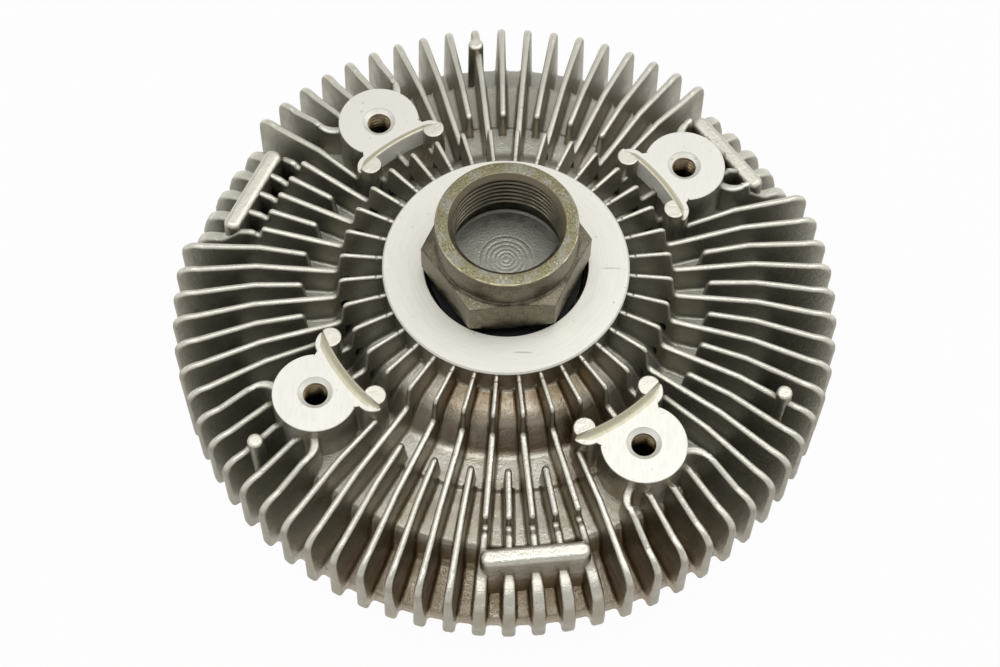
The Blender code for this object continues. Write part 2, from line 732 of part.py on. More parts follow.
def cover_screw_holes(name, levels):
    return ring_of_holes(name, COVER_SCREW_COUNT, COVER_SCREW_PCD_R, COVER_SCREW_AZIMUTH, levels, 8)


def hub_shaft(finish):
    """Cup, collar and hexagon above the ring, and the stepped shaft through bearing and rotor."""
    groove_r = ROTOR_SEAT_R - CIRCLIP_DEPTH
    clip_bottom = SHAFT_CLIP_TOP_Z - CIRCLIP_THICKNESS
    seat_end = BEARING_BOTTOM_Z + FIT
    profile = [
        (0.0, CUP_TOP_Z),
        (COLLAR_R - COLLAR_CHAMFER, CUP_TOP_Z),
        (COLLAR_R, CUP_TOP_Z - COLLAR_CHAMFER),
        (COLLAR_R, HEX_BOTTOM_Z),
        (SHOULDER_R, HEX_BOTTOM_Z),
        (SHOULDER_R, BEARING_TOP_Z + FIT),
        (SEAT_R, BEARING_TOP_Z + FIT),
        (SEAT_R, seat_end),
        (ROTOR_SEAT_R, seat_end),
        (ROTOR_SEAT_R, SHAFT_CLIP_TOP_Z + FIT / 2),
        (groove_r, SHAFT_CLIP_TOP_Z + FIT / 2),
        (groove_r, clip_bottom - FIT / 2),
        (ROTOR_SEAT_R, clip_bottom - FIT / 2),
        (ROTOR_SEAT_R, SHAFT_END_Z),
        (0.0, SHAFT_END_Z),
    ]
    body = turned("hub_shaft", profile, HUB_STEPS, finish, closed=False)
    corner_r = HEX_ACROSS_FLATS / math.sqrt(3)
    bm = bmesh.new()
    add_cylinder(bm, corner_r, Vector((0.0, 0.0, 0.0)), HEX_BOTTOM_Z, HEX_TOP_Z, 6)
    spin = Matrix.Rotation(math.radians(HEX_AZIMUTH), 3, "Z") @ Matrix.Rotation(corner_start(bm), 3, "Z")
    bmesh.ops.rotate(bm, verts=bm.verts, cent=(0.0, 0.0, 0.0), matrix=spin)
    hexagon = add_object("hexagon", mesh_from(bm, "hexagon"))
    flat_r = HEX_ACROSS_FLATS / 2
    drop = HEX_CHAMFER
    over = HEX_TOP_Z + drop
    under = HEX_BOTTOM_Z - drop
    slope = (corner_r + drop - flat_r) * 0.45
    lens = [(0.0, over), (flat_r - slope * 0.5, over), (corner_r + drop, over - slope * 1.6)]
    lens += [(corner_r + drop, under), (0.0, under)]
    boolean(hexagon, turned("hex_chamfer", lens, HUB_STEPS, closed=False), "INTERSECT")
    boolean(body, hexagon, "UNION")
    thread_end = CUP_TOP_Z - CUP_THREAD_LENGTH
    relief_end = thread_end - CUP_RELIEF_LENGTH
    over = CUP_TOP_Z + CUP_MOUTH
    cup = [
        (0.0, over),
        (CUP_BORE_R + 2 * CUP_MOUTH, over),
        (CUP_BORE_R, CUP_TOP_Z - CUP_MOUTH),
        (CUP_BORE_R, thread_end),
        (CUP_RELIEF_R, thread_end),
        (CUP_RELIEF_R, relief_end),
        (CUP_FLOOR_R, relief_end),
        (CUP_FLOOR_R, CUP_FLOOR_Z),
        (DIMPLE_R, CUP_FLOOR_Z),
        (0.0, CUP_FLOOR_Z - DIMPLE_R / 2),
    ]
    boolean(body, turned("cup", cup, HUB_STEPS, closed=False))
    return body


def corner_start(bm):
    """Angle that turns a six-sided cylinder so that a corner lies on +X."""
    first = next(iter(bm.verts)).co
    return -math.atan2(first.y, first.x)


def split_ring(name, inner, outer, top, thickness, finish, azimuth):
    """Retaining ring: a flat ring with a gap."""
    half = CIRCLIP_GAP_ANGLE / 2
    steps = BEARING_STEPS
    outline = arc(outer, half, 360 - half, steps) + arc(inner, 360 - half, half, steps)
    bm = bmesh.new()
    add_prism(bm, turned_outline(outline, azimuth), top - thickness, top)
    return add_object(name, mesh_from(bm, name), finish)


def ball_groove(side):
    """Ball groove as (radius, height) points upwards; side is 1 on the outer race, -1 on the inner."""
    reach = BALL_R + GROOVE_GAP
    land = (BEARING_OUTER_R - BEARING_BORE_R) / 2 - RACE_LAND
    meet = math.degrees(math.acos(land / reach))
    points = arc(reach, -meet, meet, 4)
    return [(BALL_PCD_R + side * x, BALL_Z + z) for x, z in points]


def bearing_races(steel):
    top = BEARING_TOP_Z
    bottom = BEARING_BOTTOM_Z
    outer_in = BEARING_OUTER_R - RACE_LAND
    outer = [(outer_in, top), (BEARING_OUTER_R, top), (BEARING_OUTER_R, bottom), (outer_in, bottom)]
    turned("bearing_outer_race", outer + ball_groove(1), BEARING_STEPS, steel)
    inner_out = BEARING_BORE_R + RACE_LAND
    inner = [(inner_out, top), (BEARING_BORE_R, top), (BEARING_BORE_R, bottom), (inner_out, bottom)]
    turned("bearing_inner_race", inner + ball_groove(-1), BEARING_STEPS, steel)


def bearing_seals(finish):
    seal_in = BEARING_BORE_R + RACE_LAND + FIT
    seal_out = (BEARING_OUTER_R - RACE_LAND) * math.cos(math.pi / BEARING_STEPS) - FIT / 2
    tops = {
        "bearing_seal_rear": BEARING_TOP_Z - FIT,
        "bearing_seal_front": BEARING_BOTTOM_Z + FIT + SEAL_THICKNESS,
    }
    for name, high in tops.items():
        low = high - SEAL_THICKNESS
        section = [(seal_in, high), (seal_out, high), (seal_out, low), (seal_in, low)]
        turned(name, section, BEARING_STEPS, finish)


def bearing_cage(finish):
    """Hoop with a round pocket for each ball."""
    half = BEARING_WIDTH / 2 - SEAL_THICKNESS - 2 * FIT
    inside = BALL_PCD_R - CAGE_HALF_WALL
    outside = BALL_PCD_R + CAGE_HALF_WALL
    high = BALL_Z + half
    low = BALL_Z - half
    hoop = [(inside, high), (outside, high), (outside, low), (inside, low)]
    cage = turned("bearing_cage", hoop, 2 * BALL_COUNT, finish)
    bm = bmesh.new()
    pocket_r = (BALL_R + FIT / 2) / math.cos(math.pi / 8)
    for i in range(BALL_COUNT):
        azimuth = 360.0 * (i + 0.5) / BALL_COUNT
        place = Matrix.Translation(polar(BALL_PCD_R, azimuth, BALL_Z))
        place @= Matrix.Rotation(math.radians(azimuth), 4, "Z") @ Matrix.Rotation(math.pi / 2, 4, "Y")
        bmesh.ops.create_cone(
            bm,
            cap_ends=True,
            segments=8,
            radius1=pocket_r,
            radius2=pocket_r,
            depth=4 * CAGE_HALF_WALL + 2 * CUT_OVER,
            matrix=place,
        )
    boolean(cage, add_object("cage_pockets", mesh_from(bm, "cage_pockets")))


def bearing_balls(finish):
    ball = bpy.data.meshes.new("bearing_ball")
    bm = bmesh.new()
    bmesh.ops.create_uvsphere(bm, u_segments=8, v_segments=5, radius=BALL_R)
    bm.to_mesh(ball)
    bm.free()
    ball.materials.append(finish)
    ball.shade_smooth()
    for i in range(BALL_COUNT):
        item = bpy.data.objects.new("bearing_ball_%d" % (i + 1), ball)
        PARTS.objects.link(item)
        item.parent = FRAME
        azimuth = 360.0 * (i + 0.5) / BALL_COUNT
        item.location = polar(BALL_PCD_R, azimuth, BALL_Z)
        item.rotation_euler.z = math.radians(azimuth)


def bearing_circlip(finish):
    groove_r = HOUSING_BORE_R + CIRCLIP_DEPTH
    inner = groove_r - CIRCLIP_WIDTH - FIT
    outer = groove_r * math.cos(math.pi / CORE_STEPS) - FIT / 2
    split_ring("bearing_circlip", inner, outer, CIRCLIP_TOP_Z, CIRCLIP_THICKNESS, finish, 60.0)


def rotor_circlip(finish):
    inner = ROTOR_SEAT_R - CIRCLIP_DEPTH + FIT / 2
    outer = inner + CIRCLIP_WIDTH
    split_ring("rotor_circlip", inner, outer, SHAFT_CLIP_TOP_Z, CIRCLIP_THICKNESS, finish, 200.0)


def rotor(finish):
    """Driven disc: hub, web and annular lands that stand between the housing's lands."""
    bore = ROTOR_SEAT_R + FIT
    top = ROTOR_TOP_Z
    land_top = LAND_ROOF_Z - RUN_GAP
    hub_top = BEARING_BOTTOM_Z - FIT
    profile = [(bore, hub_top), (ROTOR_HUB_R, hub_top), (ROTOR_HUB_R, top)]
    for i in range(LAND_COUNT):
        start = LAND_START_R + i * LAND_PITCH + RUN_GAP
        end = start + LAND_WIDTH
        profile += [(start, top), (start, land_top), (end, land_top), (end, top)]
    recess_r = ROTOR_HUB_R + RUN_GAP
    profile += [(ROTOR_R, top), (ROTOR_R, ROTOR_BOTTOM_Z), (recess_r, ROTOR_BOTTOM_Z)]
    profile += [(recess_r, ROTOR_HUB_BOTTOM_Z), (bore, ROTOR_HUB_BOTTOM_Z)]
    body = turned("rotor", profile, CORE_STEPS, finish)
    through = [(ROTOR_HOLE_R, ROTOR_BOTTOM_Z - CUT_OVER), (ROTOR_HOLE_R, top + CUT_OVER)]
    boolean(body, ring_of_holes("rotor_holes", ROTOR_HOLE_COUNT, ROTOR_HOLE_PCD_R, 0.0, through))
    return body


def front_cover(finish):
    """Finned cover with a spigot, the fluid reservoir and the spindle boss."""
    seal_r = SPIGOT_R - 2 * O_RING_R - FIT / 2
    seal_half = O_RING_R + FIT / 2
    bore = SPINDLE_R + FIT
    profile = [
        (bore, COVER_BOSS_TOP_Z),
        (COVER_BOSS_R, COVER_BOSS_TOP_Z),
        (COVER_BOSS_R, RESERVOIR_Z),
        (RESERVOIR_R, RESERVOIR_Z),
        (RESERVOIR_R, COVER_LEDGE_Z),
        (PLATE_SEAT_R, COVER_LEDGE_Z),
        (PLATE_SEAT_R, COVER_RIM_Z),
        (SPIGOT_R, COVER_RIM_Z),
        (SPIGOT_R, COVER_SEAL_Z + seal_half),
        (seal_r, COVER_SEAL_Z + seal_half),
        (seal_r, COVER_SEAL_Z - seal_half),
        (SPIGOT_R, COVER_SEAL_Z - seal_half),
        (SPIGOT_R, FLANGE_TOP_Z),
        (COVER_FLANGE_R, FLANGE_TOP_Z),
        (COVER_FLANGE_R, FLANGE_BOTTOM_Z),
        (COVER_FIN_END_R, FLANGE_BOTTOM_Z),
        (COVER_FIN_END_R - COVER_DOME_RUN, COVER_FACE_Z),
        (COVER_BOSS_R, COVER_FACE_Z),
        (COVER_BOSS_R, COVER_BOSS_BOTTOM_Z),
        (bore, COVER_BOSS_BOTTOM_Z),
    ]
    body = turned("front_cover", profile, CORE_STEPS, finish)
    boolean(body, cover_fins(), "UNION")
    hole_r = SCREW_R + FIT
    clear = [(hole_r, FLANGE_BOTTOM_Z - CUT_OVER), (hole_r, FLANGE_TOP_Z + CUT_OVER)]
    boolean(body, cover_screw_holes("cover_holes", clear))
    hole_r = RIVET_R + FIT
    blind = [(hole_r, COVER_LEDGE_Z + CUT_OVER), (hole_r, COVER_LEDGE_Z - RIVET_GRIP - FIT)]
    boolean(body, ring_of_holes("rivet_holes", RIVET_COUNT, RIVET_PCD_R, 0.0, blind, 8))
    hole_r = BRACKET_SCREW_R + FIT
    tapped = [(hole_r, COVER_FACE_Z - CUT_OVER), (hole_r, COVER_FACE_Z + BRACKET_SCREW_GRIP + FIT)]
    boolean(body, ring_of_holes("bracket_tap", 1, BRACKET_SCREW_PCD_R, COIL_END_AZIMUTH, tapped, 8))
    return body


def cover_fins():
    """Radial fins under the cover; the assembly stands on their flat tips."""
    bm = bmesh.new()
    start = COVER_FIN_START_R
    end = COVER_FIN_END_R
    root = COVER_FACE_Z + COVER_WALL / 2
    outline = [
        (start, root),
        (end - COVER_DOME_RUN, root),
        (end, FLANGE_BOTTOM_Z - FIN_BITE),
        (end - COVER_FIN_SLOPE, COVER_FOOT_Z),
        (start + COVER_FIN_CORNER, COVER_FOOT_Z),
    ]

    def half(height):
        return COVER_FIN_HALF + FIN_DRAFT * (height - COVER_FOOT_Z)

    for i in range(COVER_FIN_COUNT):
        add_fin(bm, outline, 360.0 * i / COVER_FIN_COUNT, half)
    return add_object("cover_fins", mesh_from(bm, "cover_fins"))


def torus(name, major, minor, height, finish, steps, sides=5):
    section = arc(minor, 90, -270 + 360 / sides, sides - 1, centre=(major, height))
    return turned(name, section, steps, finish)


def pump_plate(finish):
    """Plate between reservoir and working chamber, with its fill port and return hole."""
    outer = PLATE_SEAT_R - FIT * 2
    profile = [(0.0, PLATE_TOP_Z), (outer, PLATE_TOP_Z), (outer, PLATE_BOTTOM_Z), (0.0, PLATE_BOTTOM_Z)]
    body = turned("pump_plate", profile, CORE_STEPS, finish, closed=False)
    low = PLATE_BOTTOM_Z - CUT_OVER
    high = PLATE_TOP_Z + CUT_OVER
    port = [(PLATE_PORT_R, low), (PLATE_PORT_R, high)]
    boolean(body, ring_of_holes("fill_port", 1, PLATE_PORT_PCD_R, ARM_AZIMUTH, port))
    back = [(PLATE_RETURN_R, low), (PLATE_RETURN_R, high)]
    boolean(body, ring_of_holes("return_hole", 1, PLATE_RETURN_PCD_R, PLATE_RETURN_AZIMUTH, back, 8))
    rivet = [(RIVET_R + FIT, low), (RIVET_R + FIT, high)]
    boolean(body, ring_of_holes("plate_holes", RIVET_COUNT, RIVET_PCD_R, 0.0, rivet, 8))
    return body


def fastener_profile(shank_r, shank, head_r, head):
    """Shank above the head's seat, which lies at zero height, and the head below it."""
    tip = shank_r * 0.15
    return [
        (0.0, shank),
        (shank_r - tip, shank),
        (shank_r, shank - tip),
        (shank_r, 0.0),
        (head_r, 0.0),
        (head_r, -head),
        (0.0, -head),
    ]


def cover_screws(finish):
    """Hexagon screws from below the flange up into the housing."""
    profile = fastener_profile(SCREW_R, COVER_SCREW_LENGTH, SCREW_R, SCREW_HEAD / 2)
    for i in range(COVER_SCREW_COUNT):
        azimuth = COVER_SCREW_AZIMUTH + 360.0 * i / COVER_SCREW_COUNT
        seat = polar(COVER_SCREW_PCD_R, azimuth, FLANGE_BOTTOM_Z - FIT)
        name = "cover_screw_%d" % (i + 1)
        item = turned(name, profile, 8, finish, closed=False)
        item.location = seat
        bm = bmesh.new()
        add_cylinder(bm, SCREW_HEAD_R, Vector((0.0, 0.0, 0.0)), -SCREW_HEAD, 0.0, 6)
        head = add_object(name + "_head", mesh_from(bm, name + "_head"))
        head.location = seat
        boolean(item, head, "UNION")


def plate_rivets(finish):
    """Rivets from above the pump plate down into the cover."""
    profile = fastener_profile(RIVET_R, PLATE_THICKNESS + RIVET_GRIP, RIVET_HEAD_R, RIVET_HEAD)
    for i in range(RIVET_COUNT):
        item = turned("plate_rivet_%d" % (i + 1), profile, 8, finish, closed=False)
        item.location = polar(RIVET_PCD_R, 360.0 * i / RIVET_COUNT, PLATE_TOP_Z + FIT)
        item.rotation_euler.x = math.pi


def valve(steel, rubber):
    """Spindle through the cover, with its seal and clip, and the arm that covers the fill port."""
    top_r = SPINDLE_TOP_R
    flange_bottom = SPINDLE_FLANGE_TOP_Z - SPINDLE_FLANGE
    seal_z = (COVER_BOSS_TOP_Z + COVER_BOSS_BOTTOM_Z) / 2
    seal_half = SPINDLE_O_RING_R + FIT / 2
    seal_r = SPINDLE_R - 2 * SPINDLE_O_RING_R - FIT / 4
    clip_bottom = CLIP_TOP_Z - CLIP_THICKNESS
    clip_r = SPINDLE_R - CLIP_GROOVE
    profile = [
        (0.0, ARM_TOP_Z),
        (top_r, ARM_TOP_Z),
        (top_r, SPINDLE_FLANGE_TOP_Z),
        (SPINDLE_FLANGE_R, SPINDLE_FLANGE_TOP_Z),
        (SPINDLE_FLANGE_R, flange_bottom),
        (SPINDLE_R, flange_bottom),
        (SPINDLE_R, seal_z + seal_half),
        (seal_r, seal_z + seal_half),
        (seal_r, seal_z - seal_half),
        (SPINDLE_R, seal_z - seal_half),
        (SPINDLE_R, CLIP_TOP_Z + FIT / 2),
        (clip_r, CLIP_TOP_Z + FIT / 2),
        (clip_r, clip_bottom - FIT / 2),
        (SPINDLE_R, clip_bottom - FIT / 2),
        (SPINDLE_R, COIL_BOTTOM_Z),
        (0.0, COIL_BOTTOM_Z),
    ]
    spindle = turned("valve_spindle", profile, 12, steel, closed=False)
    bm = bmesh.new()
    reach = SPINDLE_R + CUT_OVER
    half = COIL_SLOT / 2
    slot = [(-reach, -half), (reach, -half), (reach, half), (-reach, half)]
    add_prism(bm, slot, COIL_BOTTOM_Z - CUT_OVER, COIL_TOP_Z + FIT / 2)
    boolean(spindle, add_object("spindle_slot", mesh_from(bm, "spindle_slot")))
    torus("spindle_o_ring", seal_r + FIT / 2 + SPINDLE_O_RING_R, SPINDLE_O_RING_R, seal_z, rubber, 12)
    split_ring("spindle_clip", clip_r + FIT / 2, CLIP_R, CLIP_TOP_Z, CLIP_THICKNESS, steel, 90.0)
    reach = PLATE_PORT_PCD_R
    width = ARM_HALF_WIDTH
    spread = math.degrees(math.asin(width / ARM_HUB_R))
    outline = arc(width, -90, 90, 8, centre=(reach, 0.0)) + arc(ARM_HUB_R, spread, 360 - spread, 12)
    bm = bmesh.new()
    add_prism(bm, turned_outline(outline, ARM_AZIMUTH), ARM_BOTTOM_Z, ARM_TOP_Z)
    arm = add_object("valve_arm", mesh_from(bm, "valve_arm"), steel)
    eye = [(top_r + FIT, ARM_BOTTOM_Z - CUT_OVER), (top_r + FIT, ARM_TOP_Z + CUT_OVER)]
    boolean(arm, ring_of_holes("arm_eye", 1, 0.0, 0.0, eye, 12))


def coil_path():
    """Points along the bimetal strip: a tang through the spindle, the spiral, and the outer tang."""
    points = [(-SPINDLE_R, 0.0), (SPINDLE_R, 0.0)]
    steps = int(COIL_TURNS * 12)
    for i in range(steps + 1):
        share = i / steps
        radius = COIL_INNER_R + (COIL_OUTER_R - COIL_INNER_R) * share
        points.append(tuple(polar(radius, 360.0 * COIL_TURNS * share).xy))
    outer_end = COIL_POST_R + BRACKET_THICKNESS + COIL_TANG
    points.append(tuple(polar(outer_end, COIL_END_AZIMUTH).xy))
    return points


def bimetal_coil(finish):
    path = coil_path()
    bm = bmesh.new()
    line = [bm.verts.new((x, y, COIL_BOTTOM_Z)) for x, y in path]
    edges = [bm.edges.new(pair) for pair in zip(line, line[1:])]
    raised = bmesh.ops.extrude_edge_only(bm, edges=edges)
    lifted = [e for e in raised["geom"] if isinstance(e, bmesh.types.BMVert)]
    bmesh.ops.translate(bm, verts=lifted, vec=(0.0, 0.0, COIL_HEIGHT))
    mesh = bpy.data.meshes.new("bimetal_coil")
    bm.to_mesh(mesh)
    bm.free()
    item = add_object("bimetal_coil", mesh, finish)
    wall = item.modifiers.new("Solidify", "SOLIDIFY")
    wall.thickness = COIL_THICKNESS
    wall.offset = 0.0
    wall.use_even_offset = True


def coil_bracket(finish):
    """Bent steel bracket on the cover; the coil's outer tang stands in its slot."""
    top = COVER_FACE_Z - FIT
    near = COIL_POST_R
    half = BRACKET_WIDTH / 2
    profile = [
        (near, top),
        (near + BRACKET_LENGTH, top),
        (near + BRACKET_LENGTH, top - BRACKET_THICKNESS),
        (near + BRACKET_THICKNESS, top - BRACKET_THICKNESS),
        (near + BRACKET_THICKNESS, COIL_BOTTOM_Z + FIT),
        (near, COIL_BOTTOM_Z + FIT),
    ]
    bm = bmesh.new()
    add_fin(bm, profile, COIL_END_AZIMUTH, half=lambda height: half)
    item = add_object("coil_bracket", mesh_from(bm, "coil_bracket"), finish)
    bm = bmesh.new()
    slot_half = COIL_SLOT / 2
    inside = near - CUT_OVER
    outside = near + BRACKET_THICKNESS + CUT_OVER
    slot = [(inside, -slot_half), (outside, -slot_half), (outside, slot_half), (inside, slot_half)]
    add_prism(bm, turned_outline(slot, COIL_END_AZIMUTH), COIL_BOTTOM_Z - CUT_OVER, COIL_TOP_Z + FIT)
    boolean(item, add_object("bracket_slot", mesh_from(bm, "bracket_slot")))
    hole_r = BRACKET_SCREW_R + FIT
    hole = [(hole_r, top - BRACKET_THICKNESS - CUT_OVER), (hole_r, top + CUT_OVER)]
    boolean(item, ring_of_holes("bracket_hole", 1, BRACKET_SCREW_PCD_R, COIL_END_AZIMUTH, hole, 8))


def bracket_screw(finish):
    shank = BRACKET_THICKNESS + BRACKET_SCREW_GRIP + FIT
    profile = fastener_profile(BRACKET_SCREW_R, shank, BRACKET_SCREW_HEAD_R, BRACKET_SCREW_HEAD)
    item = turned("bracket_screw", profile, 8, finish, closed=False)
    seat_z = COVER_FACE_Z - BRACKET_THICKNESS - 2 * FIT
    item.location = polar(BRACKET_SCREW_PCD_R, COIL_END_AZIMUTH, seat_z)


def build():
    cast = material("cast_aluminium", (0.60, 0.58, 0.54), 0.42, 1.0)
    hub_steel = material("hub_steel", (0.20, 0.18, 0.14), 0.45, 1.0)
    bearing_steel = material("bearing_steel", (0.62, 0.62, 0.63), 0.22, 1.0)
    cage_steel = material("cage_steel", (0.50, 0.48, 0.44), 0.35, 1.0)
    rubber = material("black_rubber", (0.02, 0.02, 0.02), 0.60, 0.0)
    sheet = material("sheet_steel", (0.45, 0.45, 0.46), 0.35, 1.0)
    plated = material("zinc_plated", (0.68, 0.66, 0.58), 0.30, 1.0)
    bimetal = material("bimetal", (0.55, 0.50, 0.42), 0.30, 1.0)
    rear_housing(cast)
    hub_shaft(hub_steel)
    bearing_races(bearing_steel)
    bearing_seals(rubber)
    bearing_cage(cage_steel)
    bearing_balls(bearing_steel)
    bearing_circlip(sheet)
    rotor(cast)
    rotor_circlip(sheet)
    front_cover(cast)
    torus("cover_o_ring", SPIGOT_R - O_RING_R, O_RING_R, COVER_SEAL_Z, rubber, CORE_STEPS)
    cover_screws(plated)
    pump_plate(sheet)
    plate_rivets(plated)
    valve(plated, rubber)
    bimetal_coil(bimetal)
    coil_bracket(plated)
    bracket_screw(plated)


clear_scene()
PARTS = new_collection("viscous_fan_clutch")
CUTTERS = new_collection("cutters")
FRAME = bpy.data.objects.new("clutch_frame", None)
PARTS.objects.link(FRAME)
FRAME.location.z = -COVER_FOOT_Z
build()
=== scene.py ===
"""Looks of the viscous fan clutch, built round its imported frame.

Heights are written above the ring plane, the machined face round the bearing, and RING_Z lifts them
to the frame. Radii are measured from the shaft axis. Lengths are in metres and angles in degrees.
"""

import math

import bmesh
import bpy
from mathutils import Matrix, Vector


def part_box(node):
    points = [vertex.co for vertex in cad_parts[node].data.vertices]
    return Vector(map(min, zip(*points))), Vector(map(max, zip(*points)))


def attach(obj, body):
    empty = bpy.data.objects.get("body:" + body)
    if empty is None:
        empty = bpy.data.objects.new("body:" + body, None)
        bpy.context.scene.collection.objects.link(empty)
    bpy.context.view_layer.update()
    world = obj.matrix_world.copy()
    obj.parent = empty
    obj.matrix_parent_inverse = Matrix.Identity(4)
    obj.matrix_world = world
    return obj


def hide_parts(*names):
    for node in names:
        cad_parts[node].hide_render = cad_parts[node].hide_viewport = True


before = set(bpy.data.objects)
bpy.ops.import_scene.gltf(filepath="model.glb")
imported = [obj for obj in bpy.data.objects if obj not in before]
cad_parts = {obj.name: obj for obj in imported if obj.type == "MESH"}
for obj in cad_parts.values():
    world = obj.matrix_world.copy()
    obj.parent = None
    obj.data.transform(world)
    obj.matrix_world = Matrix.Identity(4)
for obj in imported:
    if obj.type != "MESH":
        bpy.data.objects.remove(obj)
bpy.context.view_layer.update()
RING_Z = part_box("rear_housing")[1].z

# Rear housing: machined ring and turned skin
RING_OUTER_R = 0.0323
RING_INNER_R = 0.02147
RING_LIP = 0.0030
RING_CHAMFER = 0.0004
RING_CUT_Z = -0.0007
RING_SINK = 0.0005
FACE_EDGE = 0.00015
INNER_FLOOR_Z = -0.0090
STEP_R = 0.0450
STEP_DRAFT = 0.0010
STEP_SLOPE = 0.0050
STEP_FALL = 0.0018
LEDGE_Z = -0.0192
LEDGE_R = 0.0556
LOW_FLOOR_Z = -0.0200
DROP_R = 0.0714
OUTER_FLOOR_Z = -0.0290
RIM_R = 0.0860
RIM_FLOOR_Z = -0.0330
BOTTOM_Z = -0.0365
CHAMBER_R = 0.0697
ROOF_Z = -0.0248
POCKET_R = 0.0385
POCKET_Z = -0.0128
BOSS_R = 0.0278
BOSS_Z = -0.0177
BORE_R = 0.0238

# Fins of the rear housing
FIN_COUNT = 72
FIN_AZIMUTH = 2.0
FIN_TIP_HALF = 0.00064
FIN_DRAFT = 0.0285
FIN_R = 0.0890
FIN_TOP_Z = -0.0098
FIN_INNER_TOP_Z = -0.0010
FIN_INNER_END_R = 0.0435
FIN_SHORT_R = 0.0530
FIN_FLAT_R = 0.0665
FIN_SLOPE_R = 0.0825
FIN_SLOPE_DROP = 0.0039
FIN_SLOPE_ROUND = 0.0060
FIN_END_Z = FIN_TOP_Z - FIN_SLOPE_DROP
FIN_CORNER = 0.0055
FIN_FOOT_Z = -0.0372
FIN_FOOT_ROUND = 0.0009
FIN_FOOT_RISE = 0.0004
RIM_INSET = 0.0020
FIN_SINK = 0.0018
FIN_ROUND = 0.00095
LARGEST_ROUND = 0.94
FIN_GROOVE_R = 0.0340
FIN_GROOVE_HALF = 0.0004
FIN_GROOVE_DEPTH = 0.0003
FIN_GROOVE_REACH = 0.0015
FILLET = 0.0008
SUNK = 0.00015

# Fan pads
PAD_COUNT = 4
PAD_AZIMUTH = 36.92
PAD_PCD_R = 0.05975
PAD_R = 0.01105
PAD_Z = -0.0059
PAD_FOOT_Z = LOW_FLOOR_Z - 0.0020
PAD_FOOT_SPREAD = 0.0003
PILOT_R = 0.0519
PILOT_INNER_R = 0.0503
PILOT_TOP_Z = -0.0042
HORN_R = 0.0537
HORN_ANGLE = 15.6
HORN_TIP_R = 0.0512
PILOT_FILLET = 0.0018
PILOT_WALL = 0.0120
EJECTOR_R = 0.0029
EJECTOR_PCD_R = 0.0493
EJECTOR_ANGLE = 12.0
EJECTOR_TOP_Z = -0.0039
EJECTOR_EDGE = 0.0004
EJECTOR_DRAFT = 0.02
FAN_HOLE_R = 0.0033
FAN_HOLE_MOUTH_R = 0.0045
FAN_HOLE_CONE = 0.0010
FAN_HOLE_DEPTH = 0.0140
FAN_THREAD_PITCH = 0.00125
FAN_THREAD_DEPTH = 0.00045
HOOK_ANGLE = 10.0
HOOK_START_R = 0.0722
HOOK_KNEE_R = 0.0684
HOOK_END_R = 0.0664
HOOK_END_ANGLE = 7.2
HOOK_HALF = 0.00120
HOOK_FOOT_Z = LOW_FLOOR_Z - 0.0010

# Balance bars and gate pins
BAR_COUNT = 3
BAR_AZIMUTH = 37.0
BAR_R = 0.0758
BAR_WIDTH = 0.0050
BAR_LENGTH = 0.0278
BAR_TOP_Z = -0.0128
BAR_ROUND = 0.0017
BAR_PARTING = 0.0034
BAR_FIN_Z = -0.0194
BAR_FIN_HALF = 0.00165
BAR_FIN_SPREAD = 0.0035
BAR_FIN_DRAFT = 0.008
BAR_STUB_ROUND = 0.0022
BAR_END_R = FIN_R - 0.0026
BAR_END_Z = BAR_FIN_Z - 0.0110
BAR_END_ROUND = 0.0060
NOTCH_R = 0.0677
NOTCH_END_R = 0.0706
NOTCH_Z = -0.0148
PIN_COUNT = 3
PIN_AZIMUTH = 97.4
PIN_PCD_R = 0.0787
PIN_R = 0.0021
PIN_TOP_Z = -0.0098
PIN_FOOT_Z = OUTER_FLOOR_Z - 0.0040
PIN_ROUND = 0.0010
PIN_DRAFT = 0.012

# Angles from the middle of a bar or pad within which a fin is shaped to it
UNDER_BAR = 8.0
BESIDE_BAR = 13.0
BEHIND_PAD = 9.0
BESIDE_PAD = 11.0
BESIDE_HORN = 2.5

# Hub
CUP_TOP_Z = 0.02037
COLLAR_R = 0.01830
COLLAR_CHAMFER = 0.0004
HEX_ACROSS_FLATS = 0.0381
HEX_TOP_Z = 0.01105
HEX_BOTTOM_Z = -0.0001
HEX_AZIMUTH = 5.7
HEX_LENS_R = 0.0192
HEX_TOP_SLOPE = 0.30
HEX_BOTTOM_SLOPE = 0.40
HEX_EDGE = 0.0002
CUP_MOUTH_R = 0.0150
CUP_MOUTH_EDGE = 0.0001
THREAD_TOP_Z = 0.0190
THREAD_CREST_R = 0.01375
THREAD_ROOT_R = 0.01465
THREAD_PITCH = 0.00175
THREAD_END_Z = 0.00737
CUP_RELIEF_R = 0.0149
CUP_FLOOR_R = 0.0146
CUP_FLOOR_Z = 0.0024
TOOL_MARKS_R = (0.0009, 0.0020, 0.0031, 0.0043, 0.0055, 0.0070)
TOOL_MARK_DEPTH = 0.000025
TOOL_MARK_HALF = 0.00036
SHOULDER_R = 0.0156
SHAFT_R = 0.0122
ROTOR_SEAT_R = 0.0100
CLIP_DEPTH = 0.0011

# Bimetal coil on the front of the clutch
COIL_THICKNESS = 0.0008
COIL_INNER_R = 0.0043
COIL_LEAD_R = 0.00415
COIL_LEAD_ANGLE = 30.0
COIL_OUTER_R = 0.0178
COIL_TURNS = 3.75
TANG_R = 0.0037

# Nodes from the frame
NODE_EDGE = 0.00015
NODE_EDGE_ANGLE = 40.0

# Places of the second and third finish in a piece's list
BORE_SHADOW_FACE = 1
REFLECTION_WALL_FACE = 1
MACHINED_FACE = 1
THREAD_FACE = 2

# Limits of the shape helpers
NEARLY_STRAIGHT = 88.0
LEAST_MITRE = 0.35
LEAST_STEP = 0.00004
MERGE = 1e-6


